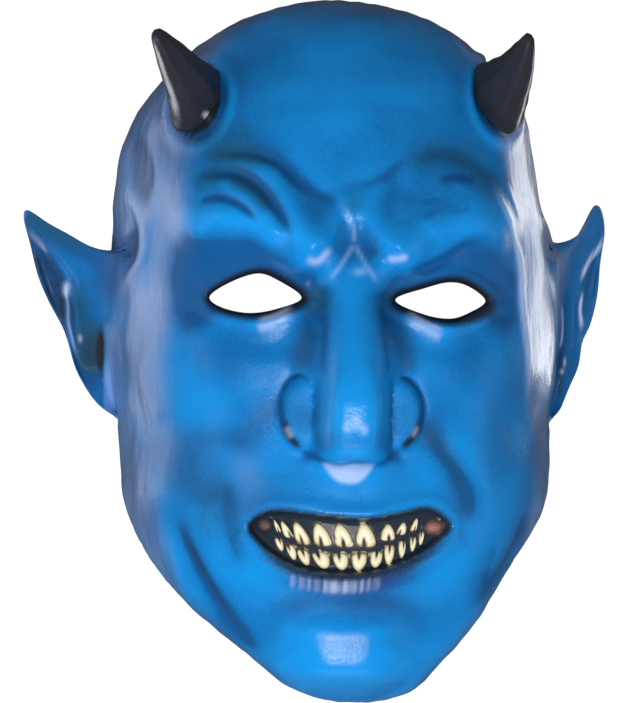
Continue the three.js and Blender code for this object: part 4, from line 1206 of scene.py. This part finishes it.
# %% Cast the teeth
tooth_random = np.random.default_rng(12)
tooth_points, tooth_faces, tooth_masks, start = [], [], [], 0
for bite_x, gum_x, width, bite_y, gum_y in UPPER_TEETH + LOWER_TEETH:
    points, faces, masks = build_tooth(bite_x, gum_x, width, bite_y, gum_y, tooth_random.uniform(-0.35, 0.35))
    if gum_y < bite_y:
        faces = [face[::-1] for face in faces]
    tooth_points.append(points)
    tooth_faces += [tuple(k + start for k in face) for face in faces]
    tooth_masks.append(masks)
    start += len(points)
teeth = new_piece("teeth", np.vstack(tooth_points), tooth_faces)
enamel, stain = np.hstack(tooth_masks)
store_all(teeth, {"enamel": enamel, "stain": stain, "black": np.ones(start)})
print("teeth:", len(UPPER_TEETH), "above,", len(LOWER_TEETH), "below")

# %% [markdown]
# ## One casting
# Ears and teeth were poured with the face, so they are joined to it with Blender's Boolean
# modifier, whose Manifold solver is quick on closed meshes. The eye holes are cut afterwards
# with two prisms, as a maker cuts them with a blade, and the cut edge takes the prisms' black.


# %% Join and cut with Booleans
CAST = "cast"
BLADE_LOW, BLADE_HIGH = 60, 180


def eye_cutter(name, line):
    ring = line[:-1]
    rings = np.array([np.column_stack([ring, np.full(len(ring), z)]) for z in (BLADE_LOW, BLADE_HIGH)])
    cutter = new_piece(name, rings.reshape(-1, 3), loft(rings, flip=True))
    store(cutter, "black", np.ones(2 * len(ring)))
    return cutter


def combine(piece, others, operation):
    for other in others:
        modifier = piece.modifiers.new(operation.lower(), "BOOLEAN")
        modifier.operation = operation
        modifier.solver = "MANIFOLD"
        modifier.object = other
    mesh = bpy.data.meshes.new_from_object(piece.evaluated_get(bpy.context.evaluated_depsgraph_get()))
    piece.modifiers.clear()
    piece.data = mesh
    for other in others:
        bpy.data.objects.remove(other)


# %% Carry the paint over a join or cut
def places(piece):
    points = np.zeros(len(piece.data.vertices) * 3, np.float32)
    piece.data.vertices.foreach_get("co", points)
    return points.reshape(-1, 3).astype(float) / MM + BOX_MIDDLE


def nearest(points, targets):
    """For each of a few points, the index of the nearest target and its distance."""
    tree = KDTree(len(targets))
    for i, target in enumerate(targets):
        tree.insert(target, i)
    tree.balance()
    found = [tree.find(point) for point in points]
    return np.array([hit[1] for hit in found]), np.array([hit[2] for hit in found])


def carry_paint(piece, paints):
    """Gives each point that a join or cut made the paint of the nearest older one, and marks them."""
    points, made = places(piece), stored(piece, CAST) <= 0.99
    index, _ = nearest(points[made], points[~made])
    for paint in paints:
        values = stored(piece, paint)
        values[made] = values[~made][index]
        store(piece, paint, values)
    return made


# %% Soften the seam
SOFTENED = ["shade", "teal", "lilac_and_sheen", "violet"]
EARS_BEYOND, EASE = 80, 0.6


def soften(piece, seam, reach, rounds):
    """Rounds off the corner along the ears' seam by moving points and paint toward their neighbours'."""
    points = places(piece)
    near = np.abs(points[:, 0]) > EARS_BEYOND
    _, distance = nearest(points[near], points[seam & near])
    weight = np.zeros(len(points))
    weight[near] = ramp(reach, 0, distance)
    edges = np.zeros(len(piece.data.edges) * 2, np.int32)
    piece.data.edges.foreach_get("vertices", edges)
    a, b = edges.reshape(-1, 2).T
    count = np.bincount(edges, minlength=len(points))[:, None]
    both = np.column_stack([points] + [stored(piece, paint) for paint in SOFTENED])
    moving = (weight[a] > 0) | (weight[b] > 0)
    a, b = a[moving], b[moving]
    for _ in range(rounds):
        gathered = np.zeros_like(both)
        np.add.at(gathered, a, both[b])
        np.add.at(gathered, b, both[a])
        both += EASE * weight[:, None] * (gathered / count - both)
    store_all(piece, dict(zip(SOFTENED, both[:, 3:].T)))
    piece.data.vertices.foreach_set("co", to_shared(both[:, :3]).astype(np.float32).ravel())
    piece.data.update()


# %% Join the ears and teeth, then cut the eyes
for piece in (mask_skin, left_ear, right_ear, teeth):
    store(piece, CAST, np.ones(len(piece.data.vertices)))
combine(mask_skin, [left_ear, right_ear, teeth], "UNION")
seam = carry_paint(mask_skin, PAINTS)
soften(mask_skin, seam, reach=5, rounds=30)
print("seam points:", int(seam.sum()))
store(mask_skin, CAST, np.ones(len(mask_skin.data.vertices)))
combine(mask_skin, [eye_cutter("blade", line) for line in eye_lines], "DIFFERENCE")
cut = carry_paint(mask_skin, PAINTS)
store_all(mask_skin, {"black": np.where(cut, 1, stored(mask_skin, "black")),
                      "inside": np.where(cut, 0, stored(mask_skin, "inside"))})
mask_skin.data.name = mask_skin.name
print("casting:", len(mask_skin.data.polygons), "faces")

# %% [markdown]
# ## Horns
# The horns are moulded on their own, painted black and glued into their seats. A horn is
# swept along a bent spine. Its cross-section is a polygon with worn corners: the smooth maximum
# of a few flat sides, which gives the long facets that catch the light.

# %% Sizes of the horns
HORN_SIDES = [0.1, 0.95, 1.85, 2.7, 3.4, 4.3, 5.3]
FOOT_SHARP, TIP_SHARP, TWIST = 9, 26, 0.25
FOOT_STRETCH, TIP_SIZE, HORN_GAP = 40, 0.012, 0.3
HORN_CORNERS, HORN_STEPS = 84, 70
HORN_TURN = np.arange(HORN_CORNERS) * 2 * pi / HORN_CORNERS
HORN_RUN = np.linspace(-0.2, 1, HORN_STEPS)
HORN_TAPER = profile([
    (-0.1, 1), (0, 1), (0.2, 0.8), (0.41, 0.61), (0.63, 0.47), (0.85, 0.29), (1, 0.14), (1.1, 0.1),
])


# %% Rings of a horn
def horn_rings(side):
    place = np.array([side, 1, 1])
    root, bend, tip = [np.array(p, float) * place for p in HORN_LINES[side]]
    start = (bend - root) / np.linalg.norm(bend - root)
    long = np.array([*HORN_LEAN[side], 0]) * place
    long -= start * long.dot(start)
    long /= np.linalg.norm(long)
    wide = np.cross(start, long) * -side
    rings = []
    for s in HORN_RUN:
        sharp = FOOT_SHARP + (TIP_SHARP - FOOT_SHARP) * ramp(0.05, 0.4, s)
        flat = [np.maximum(0, np.cos(HORN_TURN - a - TWIST * max(s, 0))) ** sharp for a in HORN_SIDES]
        radius = sum(flat) ** (-1 / sharp) * (1 + 0.012 * np.cos(9 * s * pi + 2 * HORN_TURN))
        if s < 0:
            middle, size = root + start * s * FOOT_STRETCH, 1.0
        else:
            middle = root * (1 - s) ** 2 + 2 * bend * s * (1 - s) + tip * s ** 2
            size = HORN_TAPER(s) * np.sqrt(max(0, 1 - ramp(0.95, 1, s) ** 2))
        size = max(size, TIP_SIZE)
        rings.append(middle + np.outer(HORN_LONG * size * radius * np.cos(HORN_TURN), long)
                     + np.outer(HORN_WIDE * size * radius * np.sin(HORN_TURN), wide))
    return np.array(rings)


# %% Painted highlights on a horn
def horn_glints(side):
    """Masks of the pale painted highlight along a facet or an edge, with a glint on the left horn, and of the
    facet that is too dusty to mirror anything.
    """
    turn, s = HORN_TURN, HORN_RUN[:, None]
    if side < 0:
        facet = 2.92 + 0.25 * np.maximum(s, 0)
        painted_glint = 0.8 * np.exp(-(((turn - facet) / 0.24) ** 4)) * ramp(0.12, 0.4, s) * ramp(1.0, 0.85, s)
        across_glint, along_glint = (turn - 4.2 + 1.2 * (s - 0.1)) / 0.1, (s - 0.08) / 0.07
        return {"painted_glint": painted_glint + 1.3 * np.exp(-(across_glint ** 4) - along_glint ** 4)}
    past_edge = turn - 2.74 + 0.2 * s
    dusty = ramp(1.9, 2.1, turn) * ramp(3.9, 3.6, turn) * (1 - np.exp(-((past_edge / 0.07) ** 2)))
    painted_glint = np.exp(-((past_edge / 0.08) ** 2)) * ramp(0.02, 0.1, s) * ramp(0.98, 0.8, s)
    return {"painted_glint": painted_glint, "dull": dusty}


# %% Build the horns and trim them to the skin
def seat_block(name):
    """A solid under the skin's surface, a glue gap bigger, that trims a horn's foot."""
    sheet = lay(across[::2], upward[::2], lambda p, q: skin(p, q) + dome_normal(p, q) * HORN_GAP)
    return new_piece(name, *block_under(sheet, -20))


horns = []
for name, side in (("left_horn", -1), ("right_horn", 1)):
    rings = horn_rings(side)
    horn = new_piece(name, rings.reshape(-1, 3), loft(rings, flip=side > 0))
    store_all(horn, {**horn_glints(side), CAST: np.ones(len(horn.data.vertices))})
    combine(horn, [seat_block("seat")], "DIFFERENCE")
    carry_paint(horn, ["painted_glint", "dull"])
    horn.data.name = name
    horns.append(horn)
    print(name, "faces:", len(horn.data.polygons))

# %% Smooth faces, with the cut edges kept crisp
for piece, angle in [(mask_skin, 50), (horns[0], 40), (horns[1], 40)]:
    piece.data.shade_smooth()
    piece.data.set_sharp_from_angle(angle=radians(angle))


# %% [markdown]
# ## Finishes
# Three shader groups are used by more than one material. The airbrush breaks up the edge of a
# paint mask with fine speckle. The latex grain gives the height of pores and of small wrinkles.
# The handling group gives uneven gloss, because latex is touched and dusted with powder.


# %% Shader helpers
def srgb(red, green, blue):
    """A colour given as it looks on a screen, 0 to 255, as the linear light that Blender mixes."""
    values = [c / 255 for c in (red, green, blue)]
    return tuple(c / 12.92 if c <= 0.04045 else ((c + 0.055) / 1.055) ** 2.4 for c in values) + (1,)


def node(tree, kind, **settings):
    made = tree.nodes.new(kind)
    for key, value in settings.items():
        setattr(made, key, value)
    return made


def feed(socket, value):
    """Links a socket to another one, or sets it to a plain value."""
    if isinstance(value, bpy.types.NodeSocket):
        socket.id_data.links.new(value, socket)
    else:
        socket.default_value = value


def maths(operation, first, second, clamp=False):
    """A Math node in the same tree as the socket among its two values."""
    tree = next(value.id_data for value in (first, second) if isinstance(value, bpy.types.NodeSocket))
    made = node(tree, "ShaderNodeMath", operation=operation, use_clamp=clamp)
    feed(made.inputs[0], first)
    feed(made.inputs[1], second)
    return made.outputs[0]


def plus(first, second, clamp=False):
    return maths("ADD", first, second, clamp)


def minus(first, second, clamp=False):
    return maths("SUBTRACT", first, second, clamp)


def times(first, second):
    return maths("MULTIPLY", first, second)


# %% Noise and shader groups
def noise(tree, scale, detail, stretch=None):
    """A noise pattern fixed to the object, with its scale in features per metre."""
    place = tree.nodes.new("ShaderNodeTexCoord").outputs["Object"]
    if stretch:
        mapping = node(tree, "ShaderNodeMapping")
        feed(mapping.inputs["Scale"], stretch)
        feed(mapping.inputs["Vector"], place)
        place = mapping.outputs[0]
    made = node(tree, "ShaderNodeTexNoise")
    for label, value in (("Scale", scale), ("Detail", detail), ("Vector", place)):
        feed(made.inputs[label], value)
    return made.outputs[0]


def new_group(name, inputs, output, kind="NodeSocketFloat"):
    """A shader group, what it is given and what it puts out. An input without a number is a colour."""
    group = bpy.data.node_groups.new(name, "ShaderNodeTree")
    for label, number in inputs.items():
        if number is None:
            group.interface.new_socket(label, in_out="INPUT", socket_type="NodeSocketColor")
        else:
            socket = group.interface.new_socket(label, in_out="INPUT", socket_type="NodeSocketFloat")
            socket.default_value = number
    group.interface.new_socket(output, in_out="OUTPUT", socket_type=kind)
    return group, group.nodes.new("NodeGroupInput").outputs, group.nodes.new("NodeGroupOutput").inputs[output]


# %% Group: airbrushed paint
SPECKLE_SCALE, DRIFT_SCALE = 1400, 90
airbrush, given, result = new_group(
    "airbrushed_paint", {"Ground": None, "Paint": None, "Mask": 0, "Speckle": 0.5, "Cover": 1},
    "Color", "NodeSocketColor")
speckle, drift = [minus(noise(airbrush, scale, 3), 0.5) for scale in (SPECKLE_SCALE, DRIFT_SCALE)]
grain = plus(times(speckle, 1.6), times(drift, 0.8))
half_covered = times(given["Mask"], minus(1, given["Mask"]))
edge_break = times(times(half_covered, 3), times(grain, given["Speckle"]))
mix = node(airbrush, "ShaderNodeMix", data_type="RGBA")
feed(mix.inputs["Factor"], times(plus(given["Mask"], edge_break, clamp=True), given["Cover"]))
feed(mix.inputs["A"], given["Ground"])
feed(mix.inputs["B"], given["Paint"])
feed(result, mix.outputs["Result"])

# %% Group: latex grain
PORE_SCALE, LUMP_SCALE, WRINKLE_SCALE = 950, 160, 420
latex_grain, given, result = new_group("latex_grain", {"Pores": 1, "Wrinkles": 0}, "Height")
pores = times(noise(latex_grain, PORE_SCALE, 3), given["Pores"])
lumps = times(noise(latex_grain, LUMP_SCALE, 2), 1.5)
streaks = times(noise(latex_grain, WRINKLE_SCALE, 3, stretch=(1, 0.12, 0.5)), given["Wrinkles"])
feed(result, plus(plus(pores, lumps), streaks))

# %% Group: handling
TOUCH_SCALE = 45
handling, given, result = new_group("handling", {"Roughness": 0.35, "Spread": 0.1}, "Roughness")
patches = minus(noise(handling, TOUCH_SCALE, 4), 0.5)
feed(result, plus(given["Roughness"], times(patches, times(given["Spread"], 2))))
print("shader groups:", [group.name for group in (airbrush, latex_grain, handling)])


# %% [markdown]
# ## Painted latex
# One material carries all the paint on the casting, its painted shade and highlights too. The masks
# stored on the mesh come in through Attribute nodes, and one airbrush after another lays its colour
# over the last.

# %% Colours, as they look on a screen
BLUE = srgb(14, 136, 212)
SHADE_NAVY = srgb(9, 63, 118)
DARK_TEAL = srgb(24, 72, 88)
SIDE_LILAC = srgb(130, 154, 204)
HIGHLIGHT_LILAC = srgb(188, 202, 236)
LIP_VIOLET = srgb(30, 42, 104)
INK_BLACK = srgb(26, 28, 30)
KNOB_ROSE = srgb(150, 105, 95)
ENAMEL = srgb(228, 219, 182)
TOOTH_BROWN = srgb(96, 66, 30)
RAW_LATEX = srgb(196, 176, 130)
LATEX_GRAIN = 0.12 * MM


# %% Material helpers
def new_material(name):
    material = bpy.data.materials.new(name)
    material.use_nodes = True
    tree = material.node_tree
    return material, tree, tree.nodes["Principled BSDF"]


def use_group(tree, group, **values):
    made = node(tree, "ShaderNodeGroup", node_tree=group)
    for label, value in values.items():
        feed(made.inputs[label], value)
    return made.outputs[0]


def painted(tree, name):
    return node(tree, "ShaderNodeAttribute", attribute_type="GEOMETRY", attribute_name=name).outputs["Fac"]


def lay_on(tree, ground, paint, mask, speckle, cover):
    """One airbrushed colour over another."""
    return use_group(tree, airbrush, Ground=ground, Paint=paint, Mask=mask, Speckle=speckle, Cover=cover)


def bump_from(shader, height, distance):
    made = node(shader.id_data, "ShaderNodeBump")
    feed(made.inputs["Distance"], distance)
    feed(made.inputs["Height"], height)
    feed(shader.inputs["Normal"], made.outputs["Normal"])


def coat_with(material, *pieces):
    for piece in pieces:
        piece.data.materials.clear()
        piece.data.materials.append(material)


# %% The casting's material
latex_paint, tree, shader = new_material("painted_latex")
colour = BLUE
# The navy is painted shade, the side lilac is partly a painted reflection, and the pale lilac is
# painted highlights and reflections; the other colours are the paint's own.
for mask, paint, speckle, cover in [
    ("lilac_and_sheen", SIDE_LILAC, 0.5, 0.8), ("shade", SHADE_NAVY, 0.6, 0.85), ("teal", DARK_TEAL, 0.8, 0.75),
    ("violet", LIP_VIOLET, 0.8, 0.85), ("black", INK_BLACK, 0.8, 0.96), ("painted_highlight", HIGHLIGHT_LILAC, 0.15, 0.8),
    ("blush", KNOB_ROSE, 0.4, 1), ("enamel", ENAMEL, 0.2, 1), ("stain", TOOTH_BROWN, 1, 0.7),
    ("inside", RAW_LATEX, 0, 1),
]:
    colour = lay_on(tree, colour, paint, painted(tree, mask), speckle, cover)
feed(shader.inputs["Base Color"], colour)
roughness = use_group(tree, handling, Roughness=0.21, Spread=0.05)
for mask, amount in (("shade", 0.14), ("matt", 0.35)):
    roughness = plus(roughness, times(painted(tree, mask), amount))
feed(shader.inputs["Roughness"], roughness)
feed(shader.inputs["IOR"], 1.5)
feed(shader.inputs["Coat Roughness"], 0.14)
feed(shader.inputs["Coat Weight"], times(painted(tree, "black"), 0.5))
wrinkles = times(painted(tree, "lilac_and_sheen"), 3)
bump_from(shader, use_group(tree, latex_grain, Pores=1, Wrinkles=wrinkles), LATEX_GRAIN)
coat_with(latex_paint, mask_skin)
print("painted latex:", len(tree.nodes), "nodes")

# %% The horns' material
HORN_BLACK, HORN_DUST, HORN_GLINT_GREY = srgb(35, 36, 41), srgb(54, 54, 62), srgb(176, 174, 186)
DUST_SCALE, HORN_GRAIN = 120, 0.25 * MM
horn_paint, tree, shader = new_material("gloss_horn_paint")
colour = lay_on(tree, HORN_BLACK, HORN_DUST, times(noise(tree, DUST_SCALE, 4), 0.5), 1, 0.5)
# A pale grey painted highlight along a facet or an edge of each horn, with a glint.
colour = lay_on(tree, colour, HORN_GLINT_GREY, painted(tree, "painted_glint"), 0.8, 1)
dull = times(painted(tree, "dull"), 0.5)
feed(shader.inputs["Base Color"], colour)
feed(shader.inputs["Roughness"], plus(use_group(tree, handling, Roughness=0.4, Spread=0.12), dull))
feed(shader.inputs["Coat Weight"], minus(0.2, dull, clamp=True))
feed(shader.inputs["Coat Roughness"], 0.12)
bump_from(shader, use_group(tree, latex_grain, Pores=1, Wrinkles=1), HORN_GRAIN)
coat_with(horn_paint, *horns)
print("horn paint:", len(tree.nodes), "nodes")

# %% [markdown]
# ## Bodies
# The mask has no joints, so every piece rides on the one root body, and each hides the packed node
# it stands for and says which one it is.

# %% Ride and replace
for piece, packed, slot in [(mask_skin, "mask_skin", "blue_latex"),
                            (horns[0], "horn_left", "black_horn"), (horns[1], "horn_right", "black_horn")]:
    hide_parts(packed)
    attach(piece, "root")
    print(piece.name, "stands for", packed)

# %% [markdown]
# ## A light table, soft boxes and the camera
# The mask lies on a pale table that glows for the camera alone, so the eye holes show light, as
# they do on a white sheet. A box in front gives the highlights on the nose and chin, the others
# light the colours, and two cards beside the head are seen in the gloss of its sides only.

# %% The table
HALF_TABLE, TABLE_GAP = 6000, 0.5
TABLE_CORNERS = [(-1, -1, 0), (1, -1, 0), (1, 1, 0), (-1, 1, 0)]
table = new_piece("table", np.array(TABLE_CORNERS) * HALF_TABLE + BOX_MIDDLE, [(0, 1, 2, 3)])
table.location.z = -TABLE_GAP * MM
pale, tree, shader = new_material("pale_table")
feed(shader.inputs["Base Color"], (0.1, 0.1, 0.1, 1))
feed(shader.inputs["Roughness"], 1)
feed(shader.inputs["Emission Color"], (1, 1, 1, 1))
feed(shader.inputs["Emission Strength"], node(tree, "ShaderNodeLightPath").outputs["Is Camera Ray"])
coat_with(pale, table)


# %% The lights
def softbox(name, place, aim, width, height, radiance, seen_by="both", tint=(1, 1, 1)):
    """A rectangle of light. Its radiance is how bright it looks, whatever its size."""
    light = bpy.data.lights.new(name, "AREA")
    light.shape = "RECTANGLE"
    light.size, light.size_y = width, height
    light.energy = radiance * width * height * pi
    light.color = tint
    lamp = bpy.data.objects.new(name, light)
    lamp.visible_camera = False
    lamp.visible_diffuse = seen_by != "gloss"
    lamp.visible_glossy = seen_by != "paint"
    lamp.location = place
    lamp.rotation_euler = (Vector(aim) - Vector(place)).to_track_quat("-Z", "Y").to_euler()
    bpy.context.scene.collection.objects.link(lamp)


FACE, NOSE_TIP = (0, 0, 0.06), (0, 0, 0.1)
softbox("front_box", (0.0, -0.42, 1.6), NOSE_TIP, 0.44, 0.36, 8.2)
softbox("fill_box", (-0.3, -0.32, 1.8), NOSE_TIP, 0.8, 0.8, 13.4, "paint")
softbox("chin_box", (0.0, -1.1, 0.45), FACE, 0.6, 0.6, 3.6, "paint")
softbox("left_box", (-1.1, 0.1, 0.5), FACE, 0.6, 0.6, 3, "paint")
softbox("right_box", (1.1, -0.1, 0.4), FACE, 0.6, 0.6, 2, "paint")
softbox("left_card", (-0.24, 0.06, 0.004), (-0.24, 0.06, 1), 0.2, 0.26, 1.4, "gloss", tint=(0.95, 0.95, 1))
softbox("right_card", (0.18, 0.052, 0.004), (0.18, 0.052, 1), 0.1, 0.145, 3.3, "gloss")
world = bpy.data.worlds.new("studio")
world.use_nodes = True
background = world.node_tree.nodes["Background"].inputs
feed(background["Color"], (0.9, 0.94, 1, 1))
feed(background["Strength"], 0.12)
bpy.context.scene.world = world
bpy.context.scene.view_settings.view_transform = "Standard"
print("lights:", len(bpy.data.lights))

# %% The camera
CAMERA_DISTANCE = 1500
CAMERA_YAW = radians(4)
FOCAL_PIXELS = 3462
FRAME_WIDTH, FRAME_HEIGHT = 630, 703
SENSOR, MIDLINE_PIXEL = 36, 328

camera_data = bpy.data.cameras.new("camera")
camera_data.sensor_width = SENSOR
camera_data.lens = SENSOR * FOCAL_PIXELS / FRAME_HEIGHT
camera_data.clip_end = 20
camera = bpy.data.objects.new("camera", camera_data)
bpy.context.scene.collection.objects.link(camera)
toward = np.array([-sin(CAMERA_YAW), 0, cos(CAMERA_YAW)])
right = np.array([cos(CAMERA_YAW), 0, sin(CAMERA_YAW)])
aside = (FRAME_WIDTH / 2 - MIDLINE_PIXEL) * CAMERA_DISTANCE / FOCAL_PIXELS
camera.location = to_shared(toward * CAMERA_DISTANCE + right * aside)
camera.rotation_euler = (0, -CAMERA_YAW, 0)
bpy.context.scene.camera = camera
print("lens", round(camera_data.lens, 1), "mm")
